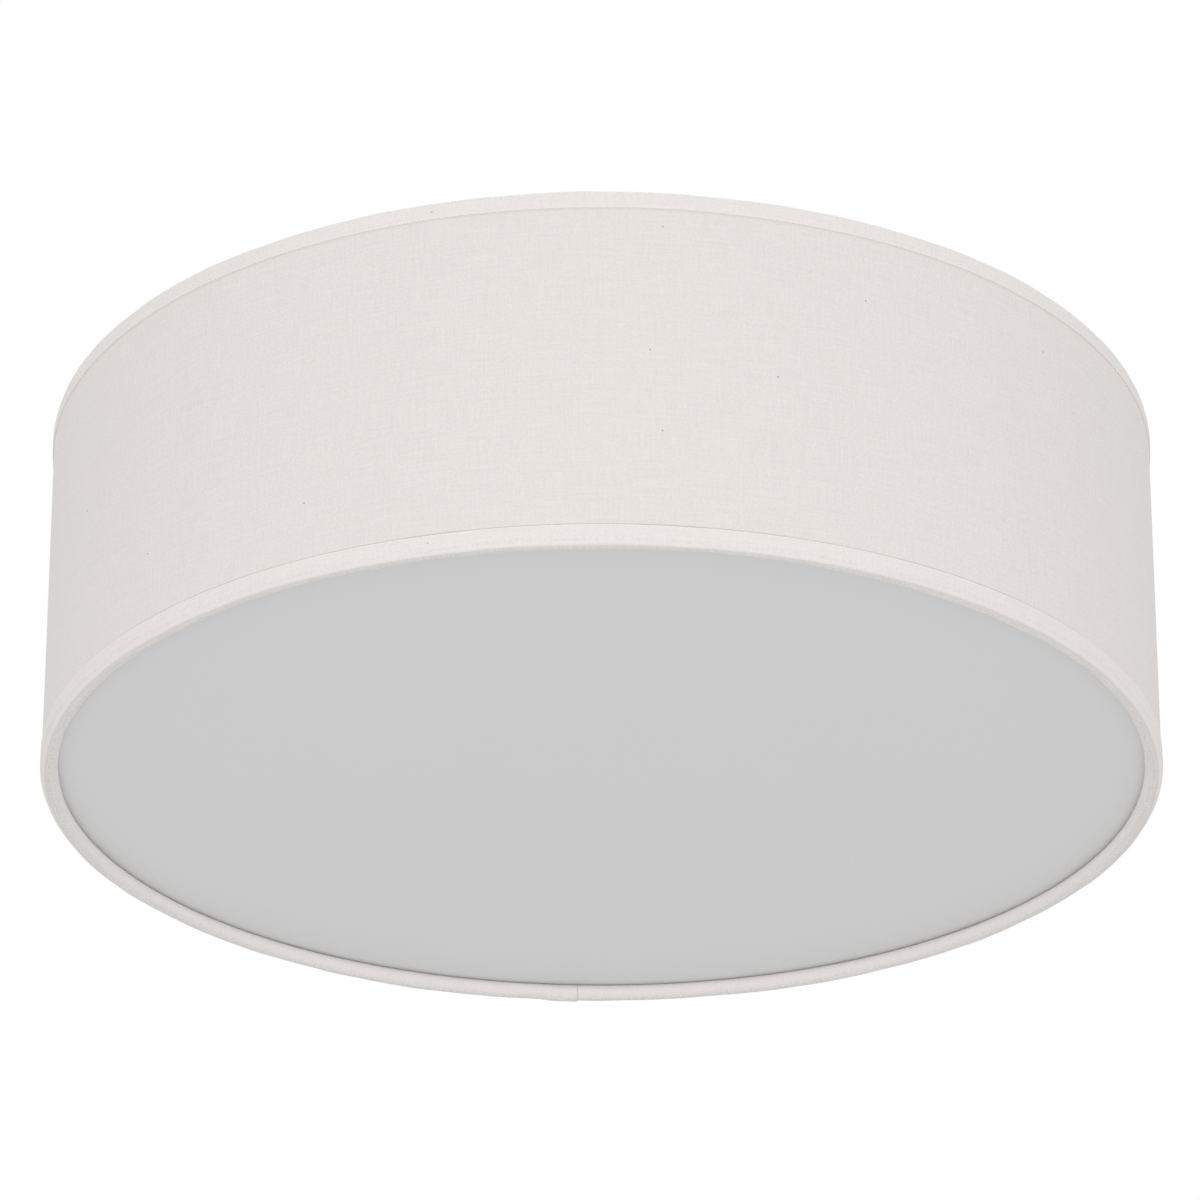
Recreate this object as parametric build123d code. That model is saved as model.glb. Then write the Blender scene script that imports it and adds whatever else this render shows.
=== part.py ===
from build123d import *
import math
import os

# A flush mount ceiling light: a low fabric drum with an opal plate laid in its lower
# rim, hung by three knurled nuts from the arms of a steel ceiling frame that carries
# three lampholders and their bulbs.
#
# Millimetres. Z = 0 is the ceiling and the lamp hangs below it. The origin is the
# middle of the ceiling screw pattern, X runs along the ceiling bracket, and the
# drum's seam is at the back, on the +Y side.

# ---------------------------------------------------------------- drum shade
SHADE_DIAMETER = 450.0      # over the trim
SHADE_HEIGHT = 150.0        # over the trim
CEILING_GAP = 2.0           # between the drum's top edge and the ceiling
TRIM_THICKNESS = 0.5        # bias tape folded over both rims
TRIM_HEIGHT = 7.7           # how far the tape reaches along the wall
TRIM_FOLD = 2.6             # outside radius where the tape turns in under the wall
TAPE_TUCK = 45.0            # degrees that the lower tape goes on past its wire's top
TAPE_END = 30.0             # degrees that the upper tape goes on below its wire's middle
CREASE_ANGLE = 22.5         # degrees, the most that the tape turns at one crease
FABRIC_THICKNESS = 0.5      # woven cover
LINER_THICKNESS = 0.6       # stiff film that the cover is laminated to
COVER_PAST_WIRE = 0.5       # how far cover and liner reach past the hoops' middles
RING_WIRE = 4.5             # round steel wire of both hoops
TAPE_GLUE = 0.35            # glue and turned-in edges between a hoop and its tape
SEAM_ANGLE = 92.7           # degrees about Z, where cover and tape are lapped
SEAM_WIDTH = 10.0           # the cover's lap
SEAM_THICKNESS = 0.4

# ---------------------------------------------------------------- opal plate
DIFFUSER_THICKNESS = 3.0
DIFFUSER_EDGE_GAP = 1.0     # between the plate's rim and the liner
DIFFUSER_CHAMFER = 0.4

# ---------------------------------------------------------------- ceiling bracket
BRACKET_END = 10.0          # past the middle of each pan stud
BRACKET_WIDTH = 24.0
BRACKET_THICKNESS = 1.5
BRACKET_CORNER = 4.0
SLOT_SPACING = 70.0         # between the middles of the two ceiling screw slots
SLOT_LENGTH = 14.0          # end to end
SLOT_WIDTH = 5.0
CABLE_HOLE_RADIUS = 8.0     # the supply cable comes down through this hole
PAN_STUD_INSET = 18.0       # of the two studs that carry the pan, from its wall
PAN_STUD_RADIUS = 2.0
PAN_STUD_REACH = 5.0        # below the pan's face, inside the cap nut
PAN_STUD_HOLE_CLEARANCE = 0.3

# ---------------------------------------------------------------- base pan
PAN_RADIUS = 70.0
PAN_DEPTH = 26.0
PAN_WALL = 1.0
PAN_CORNER = 5.0            # outside radius between wall and face

# ---------------------------------------------------------------- cap nuts of the pan
CAP_NUT_FLATS = 7.0
CAP_NUT_HEX_HEIGHT = 3.2
CAP_NUT_DOME_HEIGHT = 3.4
CAP_NUT_ROUNDING = 2.8      # of the dome's edge
CAP_WASHER_RADIUS = 4.5
CAP_WASHER_THICKNESS = 0.8

# ---------------------------------------------------------------- support arms
ARM_COUNT = 3
FIRST_ARM_ANGLE = 30.0
ARM_WIDTH = 15.0
ARM_THICKNESS = 2.0
ARM_RIVET_EDGE = 4.0        # from the arm's underside to the first rivet in its leg
ARM_RIVET_PITCH = 6.0       # between the two rivets of one leg
ARM_LEG_END = 5.0           # from the second rivet to the leg's end
ARM_BEND = 1.0              # inside radius of the bend
HANGER_INSET = 19.4         # from the liner inwards to each hanger stud
HANGER_STUD_RADIUS = 2.5    # M5
HANGER_PITCH = 0.8
HANGER_THREAD_DEPTH = 0.35
HANGER_GROOVE = 0.48        # width of each thread groove
HANGER_STUD_HEAD_RADIUS = 4.0
HANGER_STUD_HEAD_HEIGHT = 1.2
HANGER_STUD_PAST_NUT = 2.0

# ---------------------------------------------------------------- hanging tabs, nuts
TAB_WIDTH = 16.0
TAB_THICKNESS = 1.5
TAB_HOLE_CLEARANCE = 0.5
TAB_EDGE_GAP = 0.4          # between the tab's outer end and the liner
WELD_DEPTH = 0.3            # how deep the hoop's wire is welded into a tab
WASHER_RADIUS = 6.0
WASHER_THICKNESS = 1.0
WASHER_CLEARANCE = 0.3
NUT_RADIUS = 7.0
NUT_COLLAR_RADIUS = 5.0
NUT_HEIGHT = 8.0
NUT_COLLAR_HEIGHT = 3.0
NUT_CLEARANCE = 0.05        # running fit of the nut on its stud
KNURL_COUNT = 24
KNURL_RADIUS = 0.6

# ---------------------------------------------------------------- rivets
RIVET_RADIUS = 1.6
RIVET_HEAD_RADIUS = 3.2
RIVET_HEAD_HEIGHT = 1.0
RIVET_HEAD_ROUNDING = 0.8
RIVET_TAIL_RADIUS = 2.5
RIVET_TAIL_HEIGHT = 1.2

# ---------------------------------------------------------------- lampholders
HOLDER_COUNT = 3
FIRST_HOLDER_ANGLE = 90.0
HOLDER_DROP = 36.0          # of the horizontal lampholder axes, below the pan
ANGLE_WIDTH = 24.0          # the angle brackets that carry the lampholders
ANGLE_THICKNESS = 1.5
ANGLE_LEG_RADIUS = 30.0     # from the middle of the lamp to the leg's inner face
ANGLE_FOOT_LENGTH = 22.0
ANGLE_BEND = 1.0
ANGLE_RIVET_SPREAD = 12.0   # between the two rivets of one foot
ANGLE_RIVET_INSET = 8.0     # from the foot's end
NIPPLE_RADIUS = 5.0         # M10 hollow thread
NIPPLE_ROOM = 0.45          # around the two wires inside it
NIPPLE_LENGTH = 20.0
LOCKNUT_FLATS = 14.0
LOCKNUT_HEIGHT = 3.0
NIPPLE_PAST_LOCKNUT = 3.0
HOLDER_GAP = 3.1            # between the screw shell and the casing
HOLDER_WALL = 2.5
HOLDER_NECK_RADIUS = 8.0
HOLDER_NECK_LENGTH = 4.5
HOLDER_SHOULDER_LENGTH = 10.0
HOLDER_CAP_LENGTH = 18.5    # neck, shoulder and the straight part
HOLDER_SKIRT_LENGTH = 34.0
HOLDER_LIP = 1.0            # rounded front edge of the skirt
RIB_COUNT = 24              # grip ribs round the rear casing
RIB_WIDTH = 1.6
RIB_HEIGHT = 0.8
INSERT_CLEARANCE = 0.4      # between the core and the casing
INSERT_LENGTH = 11.0
INSERT_POCKET_RADIUS = 7.5
INSERT_POCKET_DEPTH = 7.0
INSERT_INTO_CAP = 4.0
SLEEVE_WALL = 0.4
SLEEVE_CLEARANCE = 0.3      # around the bulb's screw cap
SLEEVE_LENGTH = 23.0
TONGUE_WIDTH = 5.0
TONGUE_THICKNESS = 0.5
TONGUE_INSET = 1.0          # from the pocket's wall
TONGUE_RISE = 3.0           # across its bend at the foot
TONGUE_TIP = 2.0            # the flat that the bulb presses on

# ---------------------------------------------------------------- bulbs
BULB_LENGTH = 110.0         # over everything
BULB_CAP_RADIUS = 13.2      # 27 mm Edison screw, over the thread
BULB_CAP_WALL = 0.5
BULB_CAP_LEAD = 2.0         # the taper in front of the thread
BULB_CAP_RIM = 4.5          # the plain stretch behind it
BULB_PITCH = 3.63           # seven turns to the inch
BULB_THREAD_TURNS = 4
BULB_THREAD_DEPTH = 1.1
BULB_PLUG_LENGTH = 10.0     # the housing's neck inside the cap
BULB_PIP_RADIUS = 4.5
BULB_PIP_HEIGHT = 1.0
BULB_INSULATOR_RADIUS = 11.0
BULB_INSULATOR_HEIGHT = 3.0
BULB_NECK_STEP = 1.2        # the housing stands out round the cap
BULB_NECK_LENGTH = 3.0
BULB_HOUSING_LENGTH = 46.0
BULB_HOUSING_WALL = 2.0
BULB_GLOBE_RADIUS = 30.0
BULB_GLOBE_WALL = 1.2
BULB_PLUG_IN = 27.0         # how deep the bulb sits in the lampholder

# ---------------------------------------------------------------- wiring
BLOCK_LENGTH = 30.0         # three-pole terminal block, along X
BLOCK_DEPTH = 18.0
BLOCK_HEIGHT = 13.0
BLOCK_Y = 30.0              # its middle
POLE_PITCH = 10.0
CLAMP_RADIUS = 2.4          # brass tube in each pole
CLAMP_BORE_RADIUS = 1.6
CLAMP_LENGTH = 14.0
CLAMP_SCREW_RADIUS = 1.3
CLAMP_SCREW_HEAD_RADIUS = 2.0
CLAMP_SCREW_HEAD_HEIGHT = 1.6
CLAMP_SCREW_SPACING = 8.0
CLAMP_SCREW_SUNK = 1.0      # its head below the block's top
CLAMP_SCREW_SLOT = 0.6
FIXING_OFFSET = 4.5         # of the block's fixing screw, from its middle to the front
FIXING_SCREW_RADIUS = 1.5
FIXING_SCREW_HEAD_RADIUS = 2.8
FIXING_SCREW_HEAD_HEIGHT = 1.6
FIXING_NUT_FLATS = 5.5
FIXING_NUT_HEIGHT = 2.4
SCREW_SLOT = 0.8            # driver slots of the larger screws
WIRE_RADIUS = 0.9
FERRULE_WALL = 0.4
FERRULE_LENGTH = 6.0
FERRULE_TIP_RADIUS = 1.5
FERRULE_TIP_LENGTH = 6.0
WIRE_RING_RADIUS = 4.5      # six wires pass the grommet on this circle
WIRE_SPREAD = 30.0          # degrees, each of a pair from its lampholder's axis
WIRE_BEND = 10.0            # below the grommet, towards a lampholder
WIRE_TIGHT_BEND = 3.0       # inside the pan
WIRE_STRAIGHT = 4.0         # out of a ferrule before the first bend
LOW_WIRE = 2.6              # heights at which wires cross the pan, above its floor
SECOND_WIRE = 5.2
THIRD_WIRE = 9.0
HIGH_WIRE = 12.5
GROMMET_ROOM = 1.1          # around the ring of wires
GROMMET_WALL = 2.5
GROMMET_FLANGE = 2.0        # past the edge of the pan's hole
GROMMET_FLANGE_THICKNESS = 1.5
EARTH_SCREW_X = -30.0
EARTH_SCREW_Y = 44.0
EARTH_SCREW_RADIUS = 2.0
EARTH_HEAD_RADIUS = 3.6
EARTH_HEAD_HEIGHT = 2.2
EARTH_TAG_RADIUS = 4.2
EARTH_TAG_THICKNESS = 0.8
EARTH_TAG_LENGTH = 9.0

# ---------------------------------------------------------------- worked out from these
TRIM_OUTER = SHADE_DIAMETER / 2
FABRIC_OUTER = TRIM_OUTER - TRIM_THICKNESS
LINER_OUTER = FABRIC_OUTER - FABRIC_THICKNESS
LINER_INNER = LINER_OUTER - LINER_THICKNESS
RING_RADIUS = RING_WIRE / 2
TAPE_RADIUS = RING_RADIUS + TAPE_GLUE + TRIM_THICKNESS      # over the tape round a wire
HOOP_RADIUS = LINER_INNER - RING_RADIUS         # of the hoops, to their wires' middles
SHADE_TOP = -CEILING_GAP
SHADE_BOTTOM = SHADE_TOP - SHADE_HEIGHT
UPPER_HOOP = SHADE_TOP - TAPE_RADIUS            # heights of the wires' middles
LOWER_HOOP = SHADE_BOTTOM + TAPE_RADIUS
DIFFUSER_BOTTOM = LOWER_HOOP + TAPE_RADIUS
HANGER_RADIUS = LINER_INNER - HANGER_INSET

PAN_FACE = -PAN_DEPTH
PAN_FLOOR = PAN_FACE + PAN_WALL
PAN_STUD_SPACING = 2 * (PAN_RADIUS - PAN_STUD_INSET)
BRACKET_LENGTH = PAN_STUD_SPACING + 2 * BRACKET_END

TAB_TOP = UPPER_HOOP - RING_RADIUS + WELD_DEPTH
TAB_BOTTOM = TAB_TOP - TAB_THICKNESS
ARM_BOTTOM = TAB_TOP
ARM_TOP = ARM_BOTTOM + ARM_THICKNESS
ARM_LEG_OUTER = PAN_RADIUS + ARM_THICKNESS
ARM_RIVET_LEVELS = (ARM_BOTTOM - ARM_RIVET_EDGE, ARM_BOTTOM - ARM_RIVET_EDGE - ARM_RIVET_PITCH)
ARM_LEG_BOTTOM = ARM_RIVET_LEVELS[-1] - ARM_LEG_END
WASHER_BOTTOM = TAB_BOTTOM - WASHER_THICKNESS
NUT_BOTTOM = WASHER_BOTTOM - NUT_HEIGHT
HANGER_STUD_END = NUT_BOTTOM - HANGER_STUD_PAST_NUT

SLEEVE_INNER = BULB_CAP_RADIUS + SLEEVE_CLEARANCE
HOLDER_INNER = SLEEVE_INNER + SLEEVE_WALL + HOLDER_GAP
HOLDER_RADIUS = HOLDER_INNER + HOLDER_WALL
INSERT_RADIUS = HOLDER_INNER - INSERT_CLEARANCE
HOLDER_AXIS_Z = PAN_FACE - HOLDER_DROP
ANGLE_OUTER_FACE = ANGLE_LEG_RADIUS + ANGLE_THICKNESS
CAP_END = ANGLE_OUTER_FACE + HOLDER_CAP_LENGTH
SKIRT_END = CAP_END + HOLDER_SKIRT_LENGTH
BULB_START = SKIRT_END - BULB_PLUG_IN
INSERT_START = CAP_END - INSERT_INTO_CAP
INSERT_END = INSERT_START + INSERT_LENGTH
NIPPLE_START = ANGLE_LEG_RADIUS - LOCKNUT_HEIGHT - NIPPLE_PAST_LOCKNUT
NIPPLE_END = NIPPLE_START + NIPPLE_LENGTH

BULB_CAP_START = BULB_START + BULB_PIP_HEIGHT + BULB_INSULATOR_HEIGHT
BULB_THREAD_START = BULB_CAP_START + BULB_CAP_LEAD
BULB_THREAD_END = BULB_THREAD_START + BULB_THREAD_TURNS * BULB_PITCH
BULB_CAP_END = BULB_THREAD_END + BULB_CAP_RIM
BULB_CAP_MIDDLE = BULB_CAP_RADIUS - BULB_THREAD_DEPTH / 2
BULB_CAP_INNER = BULB_CAP_RADIUS - BULB_THREAD_DEPTH - BULB_CAP_WALL
BULB_RIM = BULB_CAP_END + BULB_HOUSING_LENGTH
BULB_TIP = BULB_START + BULB_LENGTH
GLOBE_MIDDLE = BULB_TIP - BULB_GLOBE_RADIUS
BULB_SHOULDER = math.sqrt(BULB_GLOBE_RADIUS ** 2 - (GLOBE_MIDDLE - BULB_RIM) ** 2)

CLAMP_Z = PAN_FLOOR + BLOCK_HEIGHT / 2
BLOCK_TOP = PAN_FLOOR + BLOCK_HEIGHT
BLOCK_FRONT = BLOCK_Y - BLOCK_DEPTH / 2
BLOCK_BACK = BLOCK_Y + BLOCK_DEPTH / 2
FIXING_X = POLE_PITCH / 2
FIXING_Y = BLOCK_Y - FIXING_OFFSET
POLES = (-POLE_PITCH, 0.0, POLE_PITCH)
FERRULE_FRONT = BLOCK_FRONT - FERRULE_LENGTH
FERRULE_BACK = BLOCK_BACK + FERRULE_LENGTH
WIRE_SPOT_RADIUS = 1.2 * WIRE_RADIUS    # three wires side by side in one ferrule
FERRULE_RADIUS = WIRE_SPOT_RADIUS + WIRE_RADIUS + FERRULE_WALL
WIRE_SIDE = WIRE_RING_RADIUS * math.sin(math.radians(WIRE_SPREAD))     # beside the axis
WIRE_ALONG = WIRE_RING_RADIUS * math.cos(math.radians(WIRE_SPREAD))    # and along it
NIPPLE_BORE_RADIUS = WIRE_SIDE + WIRE_RADIUS + NIPPLE_ROOM
GROMMET_BORE_RADIUS = WIRE_RING_RADIUS + WIRE_RADIUS + GROMMET_ROOM
GROMMET_HOLE_RADIUS = GROMMET_BORE_RADIUS + GROMMET_WALL
GROMMET_FLANGE_RADIUS = GROMMET_HOLE_RADIUS + GROMMET_FLANGE

ARM_ANGLES = [FIRST_ARM_ANGLE + i * 360 / ARM_COUNT for i in range(ARM_COUNT)]
HOLDER_ANGLES = [FIRST_HOLDER_ANGLE + i * 360 / HOLDER_COUNT for i in range(HOLDER_COUNT)]


# ---------------------------------------------------------------- helpers
def turned(points):
    """A closed outline of (radius, z) points, turned about the Z axis."""
    return revolve(make_face(Plane.XZ * Polyline(*points, close=True)), Axis.Z)


def turned_along_x(points, z=0.0):
    """A closed outline of (x, radius) points, turned about the X axis and moved to height z."""
    solid = revolve(make_face(Plane.XY * Polyline(*points, close=True)), Axis.X)
    return Pos(0, 0, z) * solid


def rod(radius, low, high, x=0.0, y=0.0):
    """A vertical cylinder between two heights."""
    return Pos(x, y, (low + high) / 2) * Cylinder(radius, high - low)


def rod_x(radius, start, end, y=0.0, z=0.0):
    """A cylinder along X between two places."""
    return Pos((start + end) / 2, y, z) * Rot(0, 90, 0) * Cylinder(radius, end - start)


def rod_y(radius, start, end, x=0.0, z=0.0):
    """A cylinder along Y between two places."""
    return Pos(x, (start + end) / 2, z) * Rot(90, 0, 0) * Cylinder(radius, end - start)


def area(left, right, low, high):
    """A flat rectangle between these limits."""
    return Pos((left + right) / 2, (low + high) / 2) * Rectangle(right - left, high - low)


def rounded(outline, corner, radius):
    """An outline with its corner nearest to this place rounded."""
    return fillet(outline.vertices().sort_by_distance((*corner, 0))[:1], radius)


def turned_outline(outline):
    """A flat outline drawn as (radius, z), turned about the Z axis."""
    return revolve(Plane.XZ * outline, Axis.Z)


def hexagon(flats, low, high):
    """An upright hexagonal prism."""
    outline = RegularPolygon(flats / math.sqrt(3), 6)
    return Pos(0, 0, low) * extrude(outline, high - low)


def around(shape, angles):
    """One copy of a shape at each angle about the Z axis."""
    return [Rot(0, 0, angle) * shape for angle in angles]


def group(shapes):
    """Separate solids kept together under one name."""
    solids = [solid for shape in shapes for solid in shape.solids()]
    return Compound(children=solids)


# ---------------------------------------------------------------- drum shade
def shade_hoop(level):
    """A round wire bent to a hoop."""
    return turned_outline(Pos(HOOP_RADIUS, level) * Circle(RING_RADIUS))


def shade_tube(outer, inner):
    """A layer of the wall, ending a little past the middles of both wires."""
    low, high = LOWER_HOOP - COVER_PAST_WIRE, UPPER_HOOP + COVER_PAST_WIRE
    return turned([(inner, low), (outer, low), (outer, high), (inner, high)])


def shade_fabric():
    """The woven cover, lapped on itself along one upright seam between the tapes."""
    cover = shade_tube(FABRIC_OUTER, LINER_OUTER)
    low, high = SHADE_BOTTOM + TRIM_HEIGHT, SHADE_TOP - TRIM_HEIGHT
    band = turned([
        (FABRIC_OUTER, low),
        (FABRIC_OUTER + SEAM_THICKNESS, low),
        (FABRIC_OUTER + SEAM_THICKNESS, high),
        (FABRIC_OUTER, high),
    ])
    strip = Pos(TRIM_OUTER, 0, (low + high) / 2) * Box(SEAM_WIDTH, SEAM_WIDTH, high - low)
    return cover + (band & (Rot(0, 0, SEAM_ANGLE) * strip))


def bend(middle, radius, start, turn):
    """Points (radius, z) of one side of the tape at its creases along a bend."""
    creases = math.ceil(abs(turn) / CREASE_ANGLE)
    angles = [math.radians(start + turn * i / creases) for i in range(creases + 1)]
    return [(middle[0] + radius * math.cos(a), middle[1] + radius * math.sin(a)) for a in angles]


def tape(edge, hoop, up, turn):
    """Tape along the wall, in at the fold and round the hoop's wire, in small creases."""
    fold = (TRIM_OUTER - TRIM_FOLD, edge + up * TRIM_FOLD)
    wire = (HOOP_RADIUS, hoop)
    sides = []
    for inset in (0, TRIM_THICKNESS):
        sides.append([
            (TRIM_OUTER - inset, edge + up * TRIM_HEIGHT),
            *bend(fold, TRIM_FOLD - inset, 0, -90 * up),
            *bend(wire, TAPE_RADIUS - inset, -90 * up, -turn * up)])
    outside, inside = sides
    return turned(outside + inside[::-1])


def bottom_trim():
    """Tape down the wall, under the lower hoop, round its inner side and over its top."""
    return tape(SHADE_BOTTOM, LOWER_HOOP, 1, 180 + TAPE_TUCK)


def top_trim():
    """Tape up the wall, over the upper hoop and down its inner side."""
    return tape(SHADE_TOP, UPPER_HOOP, -1, 90 + TAPE_END)


def hanging_tab():
    """A flat tab welded under the upper hoop, pointing inwards, with a stud hole."""
    outer_end = LINER_INNER - TAB_EDGE_GAP
    middle = Pos((HANGER_RADIUS + TRIM_OUTER) / 2, 0, 0) * Rectangle(
        TRIM_OUTER - HANGER_RADIUS, TAB_WIDTH)
    outline = middle + Pos(HANGER_RADIUS, 0, 0) * Circle(TAB_WIDTH / 2)
    outline -= Pos(HANGER_RADIUS, 0, 0) * Circle(HANGER_STUD_RADIUS + TAB_HOLE_CLEARANCE)
    outline &= Circle(outer_end)
    return Pos(0, 0, TAB_BOTTOM) * extrude(outline, TAB_THICKNESS) - shade_hoop(UPPER_HOOP)


def diffuser():
    """The opal plate, lying on the tape over the lower hoop."""
    radius = LINER_INNER - DIFFUSER_EDGE_GAP
    plate = rod(radius, DIFFUSER_BOTTOM, DIFFUSER_BOTTOM + DIFFUSER_THICKNESS)
    return chamfer(plate.edges().filter_by(GeomType.CIRCLE), DIFFUSER_CHAMFER)


# ---------------------------------------------------------------- hanger nuts
def hanger_washer():
    hole = HANGER_STUD_RADIUS + WASHER_CLEARANCE
    ring = rod(WASHER_RADIUS, WASHER_BOTTOM, TAB_BOTTOM) - rod(hole, WASHER_BOTTOM, TAB_BOTTOM)
    return Pos(HANGER_RADIUS, 0, 0) * ring


def thumb_nut():
    """A knurled nut: a plain collar against the washer and a grooved head below it."""
    collar_bottom = WASHER_BOTTOM - NUT_COLLAR_HEIGHT
    outline = Circle(NUT_RADIUS)
    for place in PolarLocations(NUT_RADIUS, KNURL_COUNT):
        outline -= place * Circle(KNURL_RADIUS)
    head = Pos(0, 0, NUT_BOTTOM) * extrude(outline, collar_bottom - NUT_BOTTOM)
    nut = head + rod(NUT_COLLAR_RADIUS, collar_bottom, WASHER_BOTTOM)
    nut -= rod(HANGER_STUD_RADIUS + NUT_CLEARANCE, NUT_BOTTOM, WASHER_BOTTOM)
    return Pos(HANGER_RADIUS, 0, 0) * nut


# ---------------------------------------------------------------- ceiling bracket and pan
def ceiling_bracket():
    """A flat strap against the ceiling: two screw slots, a cable hole and two studs' holes."""
    outline = RectangleRounded(BRACKET_LENGTH, BRACKET_WIDTH, BRACKET_CORNER)
    outline -= Circle(CABLE_HOLE_RADIUS)
    for side in (-1, 1):
        outline -= Pos(side * SLOT_SPACING / 2, 0, 0) * SlotOverall(SLOT_LENGTH, SLOT_WIDTH)
        outline -= Pos(side * PAN_STUD_SPACING / 2, 0, 0) * Circle(PAN_STUD_RADIUS)
    return Pos(0, 0, -BRACKET_THICKNESS) * extrude(outline, BRACKET_THICKNESS)


def pan_studs():
    low = PAN_FACE - CAP_WASHER_THICKNESS - PAN_STUD_REACH
    return [rod(PAN_STUD_RADIUS, low, 0, side * PAN_STUD_SPACING / 2) for side in (-1, 1)]


def cap_nut(side):
    """A domed nut with its washer's face against the pan, blind so the stud ends inside."""
    top = PAN_FACE - CAP_WASHER_THICKNESS
    hex_bottom = top - CAP_NUT_HEX_HEIGHT
    dome_radius = CAP_NUT_FLATS / 2
    nut = hexagon(CAP_NUT_FLATS, hex_bottom, top)
    nut += rod(dome_radius, hex_bottom - CAP_NUT_DOME_HEIGHT, hex_bottom)
    low_edges = nut.edges().filter_by(GeomType.CIRCLE).sort_by(Axis.Z)[:1]
    nut = fillet(low_edges, CAP_NUT_ROUNDING)
    nut -= rod(PAN_STUD_RADIUS, top - PAN_STUD_REACH, top)
    return Pos(side * PAN_STUD_SPACING / 2, 0, 0) * nut


def cap_washer(side):
    low = PAN_FACE - CAP_WASHER_THICKNESS
    ring = rod(CAP_WASHER_RADIUS, low, PAN_FACE) - rod(PAN_STUD_RADIUS, low, PAN_FACE)
    return Pos(side * PAN_STUD_SPACING / 2, 0, 0) * ring


def angle_rivet_places():
    x = ANGLE_LEG_RADIUS + ANGLE_FOOT_LENGTH - ANGLE_RIVET_INSET
    return [(x, side * ANGLE_RIVET_SPREAD / 2) for side in (-1, 1)]


def base_pan():
    """A pressed dish, open to the ceiling, with its holes for studs, rivets and wires."""
    outer = rod(PAN_RADIUS, PAN_FACE, 0)
    outer = fillet(outer.edges().sort_by(Axis.Z)[:1], PAN_CORNER)
    inner = rod(PAN_RADIUS - PAN_WALL, PAN_FLOOR, 0)
    inner = fillet(inner.edges().sort_by(Axis.Z)[:1], PAN_CORNER - PAN_WALL)
    pan = outer - inner
    cuts = [rod(GROMMET_HOLE_RADIUS, PAN_FACE, PAN_FLOOR)]
    stud_hole = PAN_STUD_RADIUS + PAN_STUD_HOLE_CLEARANCE
    for side in (-1, 1):
        cuts.append(rod(stud_hole, PAN_FACE, PAN_FLOOR, side * PAN_STUD_SPACING / 2))
    for x, y in angle_rivet_places():
        cuts += around(rod(RIVET_RADIUS, PAN_FACE, PAN_FLOOR, x, y), HOLDER_ANGLES)
    for level in ARM_RIVET_LEVELS:
        hole = rod_x(RIVET_RADIUS, PAN_RADIUS - 2 * PAN_WALL, PAN_RADIUS, z=level)
        cuts += around(hole, ARM_ANGLES)
    cuts.append(rod(EARTH_SCREW_RADIUS, PAN_FACE, PAN_FLOOR, EARTH_SCREW_X, EARTH_SCREW_Y))
    cuts.append(rod(FIXING_SCREW_RADIUS, PAN_FACE, PAN_FLOOR, FIXING_X, FIXING_Y))
    for cut in cuts:
        pan -= cut
    return pan


# ---------------------------------------------------------------- support arms
def support_arm():
    """A flat steel arm whose inner end turns down and follows the pan's wall."""
    inner_end = PAN_RADIUS - ARM_THICKNESS
    outline = area(inner_end, HANGER_RADIUS, ARM_BOTTOM, ARM_TOP)
    outline += area(inner_end, ARM_LEG_OUTER, ARM_LEG_BOTTOM, ARM_TOP)
    outline = rounded(outline, (ARM_LEG_OUTER, ARM_BOTTOM), ARM_BEND)
    bar = extrude(Plane.XZ * outline, ARM_WIDTH / 2, both=True)
    bar += rod(ARM_WIDTH / 2, ARM_BOTTOM, ARM_TOP, HANGER_RADIUS)
    bar -= rod(PAN_RADIUS, ARM_LEG_BOTTOM, ARM_TOP)
    bar -= rod(HANGER_STUD_RADIUS, ARM_BOTTOM, ARM_TOP, HANGER_RADIUS)
    for level in ARM_RIVET_LEVELS:
        bar -= rod_x(RIVET_RADIUS, inner_end, ARM_LEG_OUTER, z=level)
    return bar


def hanger_stud():
    """The stud that a thumb nut runs on, its thread drawn as rings, riveted over the arm."""
    head_top = ARM_TOP + HANGER_STUD_HEAD_HEIGHT
    root = HANGER_STUD_RADIUS - HANGER_THREAD_DEPTH
    turns = int((TAB_TOP - HANGER_STUD_END) / HANGER_PITCH) - 1
    points = [
        (0, head_top),
        (HANGER_STUD_HEAD_RADIUS, head_top),
        (HANGER_STUD_HEAD_RADIUS, ARM_TOP),
        (HANGER_STUD_RADIUS, ARM_TOP),
    ]
    for turn in range(turns):
        level = HANGER_STUD_END + (turns - turn) * HANGER_PITCH
        points += [
            (HANGER_STUD_RADIUS, level + HANGER_GROOVE / 2),
            (root, level),
            (HANGER_STUD_RADIUS, level - HANGER_GROOVE / 2),
        ]
    points += [(root, HANGER_STUD_END), (0, HANGER_STUD_END)]
    return Pos(HANGER_RADIUS, 0, 0) * turned(points)


def rivet(grip):
    """A rivet along Z: shank from 0 to grip, domed head below 0 and set tail above."""
    shank = rod(RIVET_RADIUS, -RIVET_HEAD_HEIGHT, grip + RIVET_TAIL_HEIGHT)
    head = rod(RIVET_HEAD_RADIUS, -RIVET_HEAD_HEIGHT, 0)
    head = fillet(head.edges().sort_by(Axis.Z)[:1], RIVET_HEAD_ROUNDING)
    return shank + head + rod(RIVET_TAIL_RADIUS, grip, grip + RIVET_TAIL_HEIGHT)


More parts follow.
